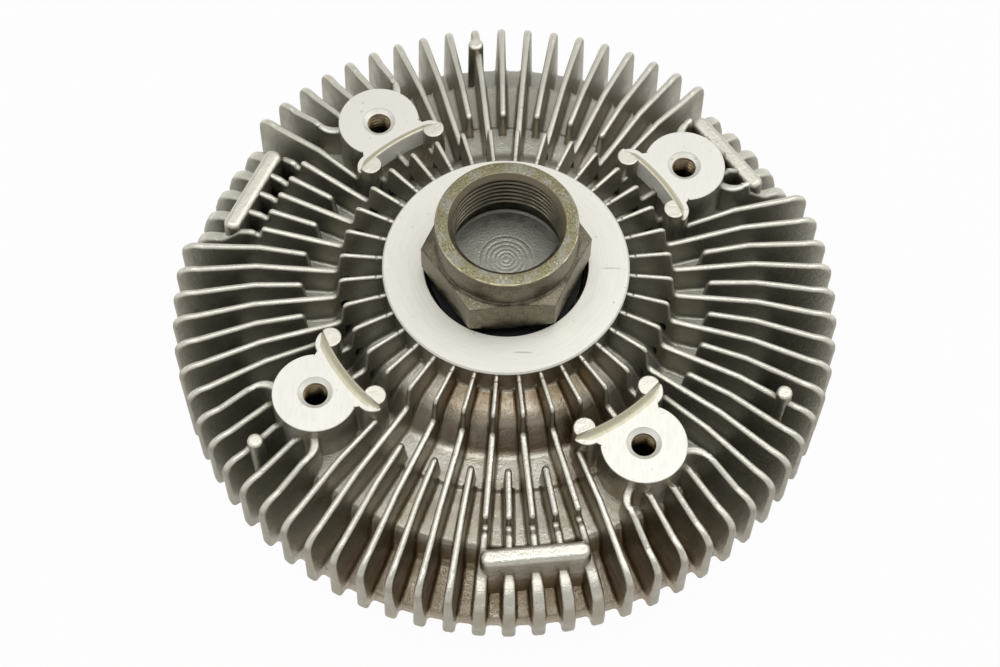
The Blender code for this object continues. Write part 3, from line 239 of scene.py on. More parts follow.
def polar(radius, azimuth, height=0.0):
    angle = math.radians(azimuth)
    return Vector((radius * math.cos(angle), radius * math.sin(angle), height))


def flat_polar(radius, azimuth):
    return tuple(polar(radius, azimuth).xy)


def arc(radius, start, end, steps, centre=(0.0, 0.0)):
    points = []
    for i in range(steps + 1):
        angle = math.radians(start + (end - start) * i / steps)
        points.append((centre[0] + radius * math.cos(angle), centre[1] + radius * math.sin(angle)))
    return points


def smooth(value, start, end):
    t = max(0.0, min(1.0, (value - start) / (end - start)))
    return t * t * (3 - 2 * t)


def rounded(corners, steps):
    """Rounds a polyline of (x, y, radius) corners and returns its (x, y) points."""
    points = []
    last = len(corners) - 1
    for i, (x, y, radius) in enumerate(corners):
        if i in (0, last) or radius <= 0:
            points.append((x, y))
            continue
        here = Vector((x, y))
        back = (Vector(corners[i - 1][:2]) - here).normalized()
        ahead = (Vector(corners[i + 1][:2]) - here).normalized()
        half = math.acos(max(-1.0, min(1.0, back.dot(ahead)))) / 2
        if half > math.radians(NEARLY_STRAIGHT):
            points.append((x, y))
            continue
        centre = here + (back + ahead).normalized() * (radius / math.sin(half))
        first = here + back * (radius / math.tan(half)) - centre
        turn = math.copysign(math.pi - 2 * half, back.cross(ahead))
        for k in range(steps + 1):
            angle = -turn * k / steps
            cosine = math.cos(angle)
            sine = math.sin(angle)
            across = centre.x + first.x * cosine - first.y * sine
            along = centre.y + first.x * sine + first.y * cosine
            points.append((across, along))
    return points


def with_round(points, radius):
    return [(x, y, radius) for x, y in points]


def turned_outline(outline, azimuth):
    angle = math.radians(azimuth)
    cosine = math.cos(angle)
    sine = math.sin(angle)
    return [(x * cosine - y * sine, x * sine + y * cosine) for x, y in outline]


def away(azimuth, start, count):
    """Angle between an azimuth and the nearest of count equally spaced ones."""
    pitch = 360.0 / count
    return abs((azimuth - start + pitch / 2) % pitch - pitch / 2)


def spaced(count, start):
    return [start + 360.0 * i / count for i in range(count)]


def mitres(points, closed):
    """Left-hand normals of a polyline, lengthened at its corners so that offsets stay parallel."""
    count = len(points)
    normals = []
    for i in range(count):
        here = Vector(points[i])
        sides = []
        if closed or i > 0:
            along = (here - Vector(points[i - 1])).normalized()
            sides.append(Vector((-along.y, along.x)))
        if closed or i < count - 1:
            along = (Vector(points[(i + 1) % count]) - here).normalized()
            sides.append(Vector((-along.y, along.x)))
        total = sum(sides, Vector((0.0, 0.0)))
        if len(sides) == 2:
            total /= max(LEAST_MITRE, 1 + sides[0].dot(sides[1]))
        normals.append(total)
    return normals


def quarter(steps):
    """(1 - cos, 1 - sin) of each angle in equal steps from 0 to 90 degrees."""
    angles = [math.radians(90.0 * k / steps) for k in range(steps + 1)]
    return [(1 - math.cos(angle), 1 - math.sin(angle)) for angle in angles]


def ribbon(path, halves):
    """Outline of a strip along a path, from half its width at each point."""
    left = []
    right = []
    for (x, y), normal, half in zip(path, mitres(path, False), halves):
        left.append((x + normal.x * half, y + normal.y * half))
        right.append((x - normal.x * half, y - normal.y * half))
    return right + left[::-1]


def clean(points):
    """Leaves out the points that lie on the one before."""
    kept = []
    for point in points:
        if not kept or (Vector(point[:2]) - Vector(kept[-1][:2])).length > LEAST_STEP:
            kept.append(point)
    return kept


def side_faces(bm, rings):
    """Quads between neighbouring loops of vertices."""
    count = len(rings[0])
    for a, b in zip(rings, rings[1:]):
        for i in range(count):
            j = (i + 1) % count
            bm.faces.new((a[i], a[j], b[j], b[i]))


def join_rings(bm, rings):
    """Closed skin over a stack of vertex loops."""
    side_faces(bm, rings)
    bm.faces.new(rings[0])
    bm.faces.new(rings[-1][::-1])


def around(bm, section, steps, closed=True, azimuth=0.0, centre=Vector()):
    """Joins the (radius, height) outlines that section gives for each angle, once round a centre.

    Returns the outlines as columns of vertices, and the faces between them.
    """
    columns = []
    faces = []
    for k in range(steps):
        angle = azimuth + 360.0 * k / steps
        columns.append([bm.verts.new(centre + polar(r, angle, z)) for r, z in section(angle)])
    count = len(columns[0])
    spans = count if closed else count - 1
    for k in range(steps):
        here = columns[k]
        there = columns[(k + 1) % steps]
        for i in range(spans):
            j = (i + 1) % count
            faces.append(bm.faces.new((here[i], here[j], there[j], there[i])))
    return columns, faces


def to_mesh(bm, name):
    mesh = bpy.data.meshes.new(name)
    bm.to_mesh(mesh)
    bm.free()
    return mesh


def finish_mesh(bm, name, sharp):
    bmesh.ops.remove_doubles(bm, verts=bm.verts, dist=MERGE)
    bmesh.ops.dissolve_degenerate(bm, edges=bm.edges, dist=MERGE)
    bmesh.ops.recalc_face_normals(bm, faces=bm.faces)
    mesh = to_mesh(bm, name)
    mesh.shade_smooth()
    mesh.set_sharp_from_angle(angle=math.radians(sharp))
    return mesh


def link(item):
    bpy.context.scene.collection.objects.link(item)


def add_piece(name, bm, finishes, body, replaced=(), sharp=35.0):
    """Finishes a piece and puts it into the scene; flat sides stay flat beside its rounded edges."""
    mesh = finish_mesh(bm, name, sharp)
    item = bpy.data.objects.new(name, mesh)
    flat_sides = item.modifiers.new("flat_sides", "WEIGHTED_NORMAL")
    flat_sides.keep_sharp = True
    link(item)
    item.location.z = RING_Z
    for finish in finishes:
        mesh.materials.append(finish)
    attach(item, body)
    if replaced:
        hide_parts(*replaced)


def add_housing_piece(name, bm, finishes, replaced=()):
    add_piece(name, bm, finishes, "housing", replaced)


def fin_half(radius, height):
    """Half a fin's thickness: its draft widens it downward, alike at every radius."""
    return FIN_TIP_HALF + FIN_DRAFT * (FIN_INNER_TOP_Z - height)


def bar_fin_half(radius, height):
    """Fins that cross a bar are fatter on its outer side."""
    share = max(0.0, min(1.0, (radius - BAR_R) / BAR_FIN_SPREAD))
    fat = BAR_FIN_HALF + BAR_FIN_DRAFT * (BAR_FIN_Z - height)
    return fin_half(radius, height) * (1 - share) + fat * share


def groove(radius, height):
    """How far the shallow groove round the ring cuts into the top of a fin."""
    if height < FIN_INNER_TOP_Z - FIN_GROOVE_REACH:
        return 0.0
    return FIN_GROOVE_DEPTH * (1 - smooth(abs(radius - FIN_GROOVE_R), 0.0, FIN_GROOVE_HALF))


def plate(bm, outline, azimuth, half=fin_half, steps=3):
    """A radial plate from clockwise (radius, height, rounding) points, with rounded outer edges."""
    outline = clean(outline)
    inward = [-n for n in mitres([(r, z) for r, z, _ in outline], True)]
    piece = bmesh.new()
    turns = [(-1, 90.0 * k / steps) for k in range(steps, -1, -1)]
    turns += [(1, 90.0 * k / steps) for k in range(steps + 1)]
    rings = []
    for side, degrees in turns:
        angle = math.radians(degrees)
        ring = []
        for (r, z, radius), normal in zip(outline, inward):
            place = Vector((r, z)) + normal * radius * (1 - math.cos(angle))
            wide = half(place.x, place.y)
            across = wide - min(radius, wide * LARGEST_ROUND) * (1 - math.sin(angle))
            ring.append(piece.verts.new((place.x, side * across, place.y - groove(*place))))
        rings.append(ring)
    join_rings(piece, rings)
    if half is bar_fin_half:
        for cut in (BAR_R, BAR_R + BAR_FIN_SPREAD):
            everything = piece.verts[:] + piece.edges[:] + piece.faces[:]
            bmesh.ops.bisect_plane(piece, geom=everything, plane_co=(cut, 0, 0), plane_no=(1, 0, 0))
    piece.transform(Matrix.Rotation(math.radians(azimuth), 4, "Z"))
    mesh = to_mesh(piece, "plate")
    bm.from_mesh(mesh)
    bpy.data.meshes.remove(mesh)


def fin_foot():
    """The last points of every rail: down the outer end and under the rim."""
    return [
        (FIN_R, FIN_FOOT_Z, FIN_FOOT_ROUND),
        (RIM_R - RIM_INSET, FIN_FOOT_Z + FIN_FOOT_RISE, 0.0),
    ]


def outer_rail():
    """Top edge of a plain fin from its flat part over the corner and down to its foot."""
    corners = [
        (FIN_FLAT_R, FIN_TOP_Z, 0.0),
        (FIN_SLOPE_R, FIN_END_Z, FIN_SLOPE_ROUND),
        (FIN_R, FIN_END_Z - 0.0003, FIN_CORNER),
    ]
    return rounded(corners + fin_foot(), 5)


def notch():
    """Rounded end of a fin before a bar, and the gap that follows it."""
    return [
        (NOTCH_R - 0.0030, FIN_TOP_Z, 0.0),
        (NOTCH_R, FIN_TOP_Z, 0.0012),
        (NOTCH_R + 0.0003, NOTCH_Z, 0.0010),
    ]


def bar_rail():
    """Top edge of a fin that a bar crosses: a notch, a stub and, past the bar, a low rounded end."""
    corners = notch() + [
        (NOTCH_END_R, BAR_TOP_Z - 0.0008, BAR_STUB_ROUND),
        (BAR_R, BAR_TOP_Z - 0.0009, 0.0),
        (BAR_R, BAR_FIN_Z, 0.0),
        (BAR_END_R, BAR_FIN_Z - 0.0012, 0.0080),
        (FIN_R, BAR_END_Z, BAR_END_ROUND),
    ]
    return rounded(corners + fin_foot(), 4)


def bar_end_rail():
    """Top edge of a fin that passes a bar's end: it falls in one long curve."""
    corners = notch() + [
        (NOTCH_END_R, BAR_TOP_Z, BAR_STUB_ROUND),
        (BAR_R - 0.0014, BAR_TOP_Z - 0.0014, 0.0030),
        (BAR_R + 0.0036, BAR_FIN_Z, 0.0050),
        (BAR_END_R, BAR_FIN_Z - 0.0018, 0.0070),
        (FIN_R, BAR_END_Z, BAR_END_ROUND),
    ]
    return rounded(corners + fin_foot(), 4)


def long_start():
    """From the ring over the high inner part of a long fin, down to the outer level."""
    end = FIN_INNER_END_R
    crossing = []
    for k in range(-4, 5):
        crossing.append((FIN_GROOVE_R + FIN_GROOVE_HALF * k / 4, FIN_INNER_TOP_Z, 0.0))
    corners = [(RING_OUTER_R - FIN_SINK, FIN_INNER_TOP_Z, 0.0)] + crossing + [
        (end + 0.0002, FIN_INNER_TOP_Z, 0.0018),
        (end + 0.0012, FIN_TOP_Z + 0.0002, 0.0016),
        (end + 0.0055, FIN_TOP_Z, 0.0),
    ]
    return rounded(corners, 4)


def short_start(start_r):
    """From a short fin's foot on the ledge up to the outer level."""
    corners = [
        (start_r, LEDGE_Z - FIN_SINK, 0.0),
        (start_r + 0.0005, FIN_TOP_Z, 0.0016),
        (start_r + 0.0060, FIN_TOP_Z, 0.0),
    ]
    return rounded(corners, 4)


def start_at(outer, start_r, droop=0.0):
    """Cuts a rail off inside a radius and closes it down, from a start that droops by a height."""
    beyond = [p for p in outer if p[0] > start_r + 0.0030]
    start = [
        (start_r, LOW_FLOOR_Z - FIN_SINK, 0.0),
        (start_r, FIN_TOP_Z - droop, FIN_ROUND * 0.5),
        (start_r + 0.0010, FIN_TOP_Z - droop * 0.45, FIN_ROUND * 0.9),
        (start_r + 0.0022, FIN_TOP_Z - droop * 0.05, FIN_ROUND),
    ]
    return start + beyond


def hidden_foot():
    """Edge inside the casting's wall, from the rim back in to the drop."""
    return [
        (RIM_R - RIM_INSET, RIM_FLOOR_Z - FIN_SINK, 0.0),
        (BAR_R + BAR_FIN_SPREAD, RIM_FLOOR_Z - FIN_SINK, 0.0),
        (BAR_R, OUTER_FLOOR_Z - 2 * FIN_SINK, 0.0),
        (DROP_R - 0.0009, OUTER_FLOOR_Z - FIN_SINK, 0.0),
        (DROP_R - 0.0012, LOW_FLOOR_Z - FIN_SINK, 0.0),
    ]


def hidden_root():
    """Edge inside the casting's wall, from the ledge back in to the ring."""
    return [
        (STEP_R - 0.0010, LEDGE_Z - FIN_SINK, 0.0),
        (STEP_R - 0.0012, INNER_FLOOR_Z - FIN_SINK, 0.0),
        (RING_OUTER_R - FIN_SINK, INNER_FLOOR_Z - FIN_SINK, 0.0),
    ]


def pad_wall_r(offset):
    """Radius at which a ray at an angle from a pad's centre line leaves its disc."""
    turn = math.radians(offset)
    return PAD_PCD_R * math.cos(turn) + math.sqrt(PAD_R**2 - (PAD_PCD_R * math.sin(turn)) ** 2)


def one_fin(bm, azimuth, is_long):
    """Long or short fin, in two parts where a pad stands in its way."""
    from_bar = away(azimuth, BAR_AZIMUTH, BAR_COUNT)
    from_pad = away(azimuth, PAD_AZIMUTH, PAD_COUNT)
    half = bar_fin_half if from_bar < BESIDE_BAR else fin_half
    if from_bar < UNDER_BAR:
        rail = bar_rail()
    elif from_bar < BESIDE_BAR:
        rail = bar_end_rail()
    else:
        rail = outer_rail()
    outer = with_round(rail[:-1], FIN_ROUND) + with_round(rail[-1:], 0.0)
    start = with_round(long_start(), FIN_ROUND * 0.75)
    if from_pad > BESIDE_PAD and is_long:
        plate(bm, start + outer + hidden_foot() + hidden_root(), azimuth, half)
    elif from_pad > BESIDE_PAD:
        at_horn = abs(from_pad - 1.0 - HORN_ANGLE) < BESIDE_HORN
        start = with_round(short_start(PILOT_R - 0.0008 if at_horn else FIN_SHORT_R), FIN_ROUND)
        start[0] = (*start[0][:2], 0.0)
        plate(bm, start + outer + hidden_foot(), azimuth, half)
    else:
        if is_long:
            end_r = PILOT_R - 0.0004
            end = [(end_r, FIN_TOP_Z, 0.0), (end_r, LEDGE_Z - FIN_SINK, 0.0)]
            plate(bm, start + end + hidden_root(), azimuth)
        if from_pad < BEHIND_PAD:
            rest = start_at(outer, pad_wall_r(from_pad) - 0.0005, 0.0011)
        else:
            rest = start_at(outer, HOOK_START_R - 0.0006)
        plate(bm, rest + hidden_foot(), azimuth, half)


def skin():
    """Rounded outer profile of the casting from the ring's edge to the rim's foot."""
    corners = [
        (RING_OUTER_R - 0.0001, RING_CUT_Z, 0.0),
        (RING_OUTER_R, INNER_FLOOR_Z, 0.0010),
        (STEP_R - STEP_SLOPE, INNER_FLOOR_Z - STEP_FALL, 0.0070),
        (STEP_R + STEP_DRAFT, LEDGE_Z, 0.0030),
        (LEDGE_R, LEDGE_Z, 0.0008),
        (LEDGE_R + 0.0009, LOW_FLOOR_Z, 0.0008),
        (DROP_R, LOW_FLOOR_Z, 0.0016),
        (DROP_R + 0.0016, OUTER_FLOOR_Z, 0.0024),
        (RIM_R, RIM_FLOOR_Z, 0.0016),
        (RIM_R, BOTTOM_Z, 0.0),
    ]
    return rounded(corners, 6)


def casting_body(bm):
    """Turned body of the casting under its fins, with the bearing boss and the working chamber."""
    front_r = RING_INNER_R + 0.0001
    inside = [
        (CHAMBER_R, BOTTOM_Z),
        (CHAMBER_R, ROOF_Z),
        (POCKET_R, ROOF_Z),
        (POCKET_R, POCKET_Z),
        (BOSS_R, POCKET_Z),
        (BOSS_R, BOSS_Z),
        (BORE_R, BOSS_Z),
        (BORE_R, -RING_LIP),
        (front_r, -RING_LIP),
        (front_r, RING_CUT_Z),
    ]
    profile = skin() + inside
    around(bm, lambda angle: profile, 2 * FIN_COUNT, azimuth=FIN_AZIMUTH)


def machined_ring(bm):
    profile = [
        (RING_INNER_R, RING_CUT_Z - RING_SINK),
        (RING_INNER_R, -FACE_EDGE),
        (RING_INNER_R + FACE_EDGE, 0.0),
        (RING_OUTER_R - RING_CHAMFER, 0.0),
        (RING_OUTER_R, -RING_CHAMFER),
        (RING_OUTER_R, RING_CUT_Z),
        (RING_OUTER_R - 0.0010, RING_CUT_Z - RING_SINK),
    ]
    around(bm, lambda angle: profile, 288)


def paint_bore_shadow(bm):
    """Gives the wall round the bearing's front a painted shadow: a near-black finish for the shade in the
    gap round the bearing.
    """
    for face in bm.faces:
        middle = face.calc_center_median()
        if middle.xy.length < RING_INNER_R + 0.0002 and middle.z < -RING_CHAMFER / 2:
            face.material_index = BORE_SHADOW_FACE


def fillet_strip(bm, path, azimuth, side, half, steps=3):
    """Concave fillet along one side of a fin, over the casting's skin from path's start to its end."""
    path = clean(path)
    curve = [(FILLET * across, FILLET * up) for across, up in quarter(steps)]
    section = [(-SUNK, FILLET)] + curve + [(FILLET, -SUNK), (-SUNK, -SUNK)]
    spin = Matrix.Rotation(math.radians(azimuth), 3, "Z")
    rings = []
    for (r, z), normal in zip(path, mitres(path, False)):
        ring = []
        for across, up in section:
            place = Vector((r, z)) + normal * up
            out = side * (half(place.x, place.y) + across)
            ring.append(bm.verts.new(spin @ Vector((place.x, out, place.y))))
        rings.append(ring)
    join_rings(bm, rings)


def fin_fillets(bm, azimuth, is_long):
    """Fillets along both sides of a fin, wherever it stands on the open skin."""
    path = skin()[1:]
    half = bar_fin_half if away(azimuth, BAR_AZIMUTH, BAR_COUNT) < BESIDE_BAR else fin_half
    beside_pad = away(azimuth, PAD_AZIMUTH, PAD_COUNT) < BESIDE_PAD
    start_r = RING_OUTER_R if is_long else FIN_SHORT_R + 0.0006
    stretches = [[p for p in path if p[0] >= start_r - 0.0001]]
    if beside_pad:
        stretches = [[p for p in path if p[0] > DROP_R - 0.0030]]
    if beside_pad and is_long:
        stretches.append([p for p in path if p[0] < PILOT_R])
    for stretch in stretches:
        for side in (-1, 1):
            fillet_strip(bm, stretch, azimuth, side, half)


def prism_rings(bm, outline, levels):
    """Loops of vertices over a counter-clockwise (x, y) outline; each level is (height, growth)."""
    outward = [-n for n in mitres(outline, True)]
    rings = []
    for z, grow in levels:
        ring = []
        for (x, y), normal in zip(outline, outward):
            ring.append(bm.verts.new((x + normal.x * grow, y + normal.y * grow, z)))
        rings.append(ring)
    return rings


def rounded_top(top, edge, steps):
    """Levels of a prism's rounded top edge."""
    return [(top - edge * up, -edge * inward) for inward, up in quarter(steps)]


def prism(bm, outline, bottom, top, edge, draft, steps=3):
    """Upright prism, rounded along its top edge and wider at its foot."""
    levels = [(bottom, draft * (top - bottom))] + rounded_top(top, edge, steps)
    join_rings(bm, prism_rings(bm, outline, levels))


def pad_outline():
    """Fan pad seen along the axis: a disc round the hole with two pointed horns along the pilot arc."""
    reach = (HORN_R**2 + PAD_PCD_R**2 - PAD_R**2) / (2 * PAD_PCD_R)
    side = math.sqrt(HORN_R**2 - reach**2)
    meet = math.degrees(math.atan2(side, reach))
    disc = math.degrees(math.atan2(side, reach - PAD_PCD_R))
    upper = []
    for k in range(7):
        share = k / 6
        taper = (HORN_R - HORN_TIP_R - 0.0001) * share**2.6
        upper.append(flat_polar(HORN_R - taper, meet + 1.1 + (HORN_ANGLE - meet - 1.2) * share))
    upper.append(flat_polar(HORN_TIP_R - 0.0002, HORN_ANGLE))
    upper.append(flat_polar((HORN_TIP_R + PILOT_INNER_R) / 2 - 0.0001, HORN_ANGLE - 0.05))
    upper += arc(PILOT_INNER_R, HORN_ANGLE - 0.4, 0, 10)
    lower = [(x, -y) for x, y in reversed(upper[:-1])]
    round_side = arc(PAD_R, -disc + 6, disc - 6, 40, centre=(PAD_PCD_R, 0.0))
    corner = polar(HORN_R + PAD_R * 0.10, meet + 0.25)
    return upper + lower + [(corner.x, -corner.y)] + round_side + [(corner.x, corner.y)]


def thread_rows(crest_r, root_r, pitch, top, bottom, angle, rows=8):
    """(radius, height) points down a threaded wall at one angle round its axis."""
    count = int((top - bottom) / pitch * rows)
    points = []
    for i in range(count + 1):
        z = top - (top - bottom) * i / count
        phase = (z / pitch + angle / 360.0) % 1.0
        hollow = 1 - smooth(abs(2 * phase - 1), 0.12, 0.88)
        fade = min(1.0, 1.5 * i / rows)
        points.append((crest_r + (root_r - crest_r) * hollow * fade, z))
    return points


def fan_hole_section(angle):
    """Outline of a fan hole at one angle, from its mouth down the countersink and the thread."""
    crest_r = FAN_HOLE_R - 0.0001
    root_r = FAN_HOLE_R + FAN_THREAD_DEPTH
    top = PAD_Z - FAN_HOLE_CONE
    low = PAD_Z - FAN_HOLE_DEPTH
    mouth = [(FAN_HOLE_MOUTH_R, PAD_Z), (FAN_HOLE_MOUTH_R - 0.0001, PAD_Z - 0.0002)]
    rows = thread_rows(crest_r, root_r, FAN_THREAD_PITCH, top, low, angle, rows=6)
    return mouth + rows + [(0.0, low)]


def fan_pad(bm, azimuth):
    """One machined pad with its threaded fan hole."""
    levels = [(PAD_FOOT_Z, PAD_FOOT_SPREAD), (PAD_Z - FACE_EDGE, 0.0), (PAD_Z, -FACE_EDGE)]
    rings = prism_rings(bm, turned_outline(pad_outline(), azimuth), levels)
    side_faces(bm, rings)
    bm.faces.new(rings[0][::-1])
    columns, faces = around(bm, fan_hole_section, 36, closed=False, centre=polar(PAD_PCD_R, azimuth))
    for face in faces:
        in_cone = face.calc_center_median().z > PAD_Z - FAN_HOLE_CONE
        face.material_index = MACHINED_FACE if in_cone else THREAD_FACE
    edges = []
    for loop in (rings[-1], [column[0] for column in columns]):
        for a, b in zip(loop, loop[1:] + loop[:1]):
            edges.append(bm.edges.get((a, b)) or bm.edges.new((a, b)))
    filled = bmesh.ops.triangle_fill(bm, use_beauty=True, use_dissolve=False, edges=edges)
    for item in filled["geom"]:
        if isinstance(item, bmesh.types.BMFace):
            item.material_index = MACHINED_FACE


def pilot_crescent(bm, azimuth, steps=32):
    """Raised rim along a pad's inner edge, hollowed down to the pad and thinned towards its tips."""
    end = HORN_ANGLE - 0.5
    rings = []
    for k in range(steps + 1):
        t = -1 + 2 * k / steps
        share = 1 - smooth(abs(t), 0.72, 1.0)
        high = (PILOT_TOP_Z - PAD_Z) * (0.45 + 0.55 * share)
        wide = PILOT_FILLET * (0.25 + 0.75 * share)
        top = PAD_Z + high
        section = [
            (PILOT_INNER_R - 0.0001, PAD_Z - PILOT_WALL),
            (PILOT_INNER_R - 0.0001, top - 0.0002),
            (PILOT_INNER_R + 0.0002, top),
            (PILOT_INNER_R + 0.0004, top),
        ]
        for step in range(1, 6):
            angle = math.radians(18.0 * step)
            out = PILOT_INNER_R + 0.0004 + wide * (1 - math.cos(angle))
            section.append((out, top - (high - 0.00004) * math.sin(angle)))
        section.append((section[-1][0] + 0.0001, PAD_Z - PILOT_WALL))
        rings.append([bm.verts.new(polar(r, azimuth + t * end, z)) for r, z in section])
    join_rings(bm, rings)
    # Bore wall below the rim: near-white, mostly diffuse finish, partly the bright machined metal and
    # partly painted reflection of the ring.
    for face in bm.faces:
        middle = face.calc_center_median()
        if middle.xy.length < PILOT_INNER_R and middle.z < PILOT_TOP_Z - 0.0003:
            face.material_index = REFLECTION_WALL_FACE


def ejector_post(bm, azimuth):
    """Round post at a pad's horn, cut off flush with the pilot rim."""
    centre = polar(EJECTOR_PCD_R, azimuth)
    outline = []
    for x, y in arc(EJECTOR_R, 0, 360, 28, centre=(centre.x, centre.y))[:-1]:
        kept = min(1.0, (PILOT_INNER_R + 0.0003) / math.hypot(x, y))
        outline.append((x * kept, y * kept))
    prism(bm, outline, PAD_FOOT_Z, EJECTOR_TOP_Z, edge=EJECTOR_EDGE, draft=EJECTOR_DRAFT)


def pad_hook(bm, azimuth, side):
    """The end of a fin beside a pad, bent round into the pad's wall."""
    start = polar(HOOK_START_R, side * HOOK_ANGLE).xy
    knee = polar(HOOK_KNEE_R, side * (HOOK_ANGLE + 0.3)).xy
    end = polar(HOOK_END_R, side * HOOK_END_ANGLE).xy
    steps = 9
    centre = []
    for k in range(steps + 1):
        t = k / steps
        centre.append(tuple(start * (1 - t) ** 2 + knee * 2 * t * (1 - t) + end * t * t))
    thin = fin_half(0.0, FIN_TOP_Z)
    halves = [thin + (HOOK_HALF - thin) * smooth(k / steps, 0.0, 0.6) for k in range(steps + 1)]
    outline = turned_outline(ribbon(centre, halves), azimuth)
    prism(bm, outline, HOOK_FOOT_Z, FIN_TOP_Z, edge=thin * 0.9, draft=FIN_DRAFT)


def balance_bar(bm, azimuth):
    """Rounded bar across five fins, with the die's parting line along its side."""
    corner = BAR_WIDTH / 2 * 0.9
    half = BAR_LENGTH / 2 - corner
    outline = arc(corner, 0, 90, 6, centre=(BAR_R + BAR_WIDTH / 2 - corner, half))
    outline += arc(corner, 90, 180, 6, centre=(BAR_R - BAR_WIDTH / 2 + corner, half))
    outline += [(x, -y) for x, y in reversed(outline)]
    line = BAR_TOP_Z - BAR_PARTING
    levels = [(OUTER_FLOOR_Z - FIN_SINK, 0.0004), (line - 0.0001, 0.00012), (line + 0.0001, 0.0)]
    levels += rounded_top(BAR_TOP_Z, BAR_ROUND, 5)
    join_rings(bm, prism_rings(bm, turned_outline(outline, azimuth), levels))


def gate_pin(bm, azimuth):
    centre = polar(PIN_PCD_R, azimuth)
    outline = arc(PIN_R, 0, 360, 24, centre=(centre.x, centre.y))[:-1]
    prism(bm, outline, PIN_FOOT_Z, PIN_TOP_Z, edge=PIN_ROUND, draft=PIN_DRAFT, steps=4)


def hex_r(angle):
    """Radius of the hexagon's side at an angle."""
    local = (angle - HEX_AZIMUTH) % 60.0 - 30.0
    return HEX_ACROSS_FLATS / 2 / math.cos(math.radians(local))


def cup_floor():
    """Turned floor of the cup with its tool marks."""
    points = [(0.0, CUP_FLOOR_Z)]
    for mark in TOOL_MARKS_R:
        for share in (-1.0, -0.5, 0.0, 0.5, 1.0):
            deep = TOOL_MARK_DEPTH * (1 + math.cos(math.pi * share))
            points.append((mark + TOOL_MARK_HALF * share, CUP_FLOOR_Z - deep))
    return points + [(CUP_FLOOR_R - 0.0003, CUP_FLOOR_Z), (CUP_RELIEF_R, CUP_FLOOR_Z + 0.0006)]


def hub_section(angle):
    """Outline of the hub at one angle, from the cup's floor over its top to the shaft's end."""
    cup = cup_floor() + [(CUP_RELIEF_R, THREAD_END_Z - 0.0001)]
    rows = thread_rows(THREAD_CREST_R, THREAD_ROOT_R, THREAD_PITCH, THREAD_TOP_Z, THREAD_END_Z, angle)
    mouth = [
        (CUP_MOUTH_R - CUP_MOUTH_EDGE, CUP_TOP_Z - CUP_MOUTH_EDGE),
        (CUP_MOUTH_R + CUP_MOUTH_EDGE, CUP_TOP_Z),
    ]
    chamfer = COLLAR_CHAMFER
    collar = [
        (COLLAR_R - chamfer, CUP_TOP_Z),
        (COLLAR_R - chamfer * 0.3, CUP_TOP_Z - chamfer * 0.3),
        (COLLAR_R, CUP_TOP_Z - chamfer),
        (COLLAR_R, HEX_TOP_Z + 0.0012),
        (COLLAR_R - 0.00025, HEX_TOP_Z + 0.0007),
        (COLLAR_R - 0.00015, HEX_TOP_Z + 0.0002),
        (COLLAR_R + 0.0001, HEX_TOP_Z),
    ]
    corner = hex_r(angle)
    flat = min(corner - HEX_EDGE, HEX_LENS_R)
    beyond = max(0.0, corner - HEX_LENS_R)
    top = HEX_TOP_Z - beyond * HEX_TOP_SLOPE
    bottom = HEX_BOTTOM_Z + beyond * HEX_BOTTOM_SLOPE
    hexagon = [
        (flat, HEX_TOP_Z),
        (corner - HEX_EDGE, top),
        (corner, top - HEX_EDGE),
        (corner, bottom + HEX_EDGE),
        (corner - HEX_EDGE, bottom),
        (flat, HEX_BOTTOM_Z),
        (SHOULDER_R, HEX_BOTTOM_Z),
    ]
    return cup + rows[::-1] + mouth + collar + hexagon + shaft_outline()


def shaft_outline():
    """Shaft below the hexagon, with the seats that its bearing, rotor and ring leave for it."""
    bearing_low, bearing_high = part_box("bearing_inner_race")
    clip_low, clip_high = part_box("rotor_circlip")
    seat_top = bearing_high.z - RING_Z + 0.0003
    seat_end = bearing_low.z - RING_Z + 0.0003
    groove_top = clip_high.z - RING_Z + 0.0001
    groove_end = clip_low.z - RING_Z - 0.0001
    shaft_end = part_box("hub_shaft")[0].z - RING_Z
    groove_r = ROTOR_SEAT_R - CLIP_DEPTH
    return [
        (SHOULDER_R, seat_top),
        (SHAFT_R, seat_top),
        (SHAFT_R, seat_end),
        (ROTOR_SEAT_R, seat_end),
        (ROTOR_SEAT_R, groove_top),
        (groove_r, groove_top),
        (groove_r, groove_end),
        (ROTOR_SEAT_R, groove_end),
        (ROTOR_SEAT_R, shaft_end + 0.0003),
        (ROTOR_SEAT_R - 0.0003, shaft_end),
        (0.0, shaft_end),
    ]


def strip(bm, path, low, high):
    """Upright strip of the coil's thickness along a path, with its edges broken."""
    outline = ribbon(path, [COIL_THICKNESS / 2] * len(path))
    edge = COIL_THICKNESS / 6
    levels = [(low, -edge), (low + edge, 0.0), (high - edge, 0.0), (high, -edge)]
    join_rings(bm, prism_rings(bm, outline, levels))


def coil_spiral():
    """The coil's turns, from a lead that keeps clear of the spindle to the tang in the bracket's post."""
    path = []
    for k in range(5):
        share = k / 5
        radius = COIL_LEAD_R + (COIL_INNER_R - COIL_LEAD_R) * share
        path.append(flat_polar(radius, COIL_LEAD_ANGLE * (share - 1)))
    steps = int(COIL_TURNS * 36)
    for k in range(steps + 1):
        share = k / steps
        radius = COIL_INNER_R + (COIL_OUTER_R - COIL_INNER_R) * share
        path.append(flat_polar(radius, 360.0 * COIL_TURNS * share))
    reach = -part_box("bimetal_coil")[0].y
    return path + [flat_polar(reach, 360.0 * COIL_TURNS)]


FLAT = (1.0, 1.0, 0.0)


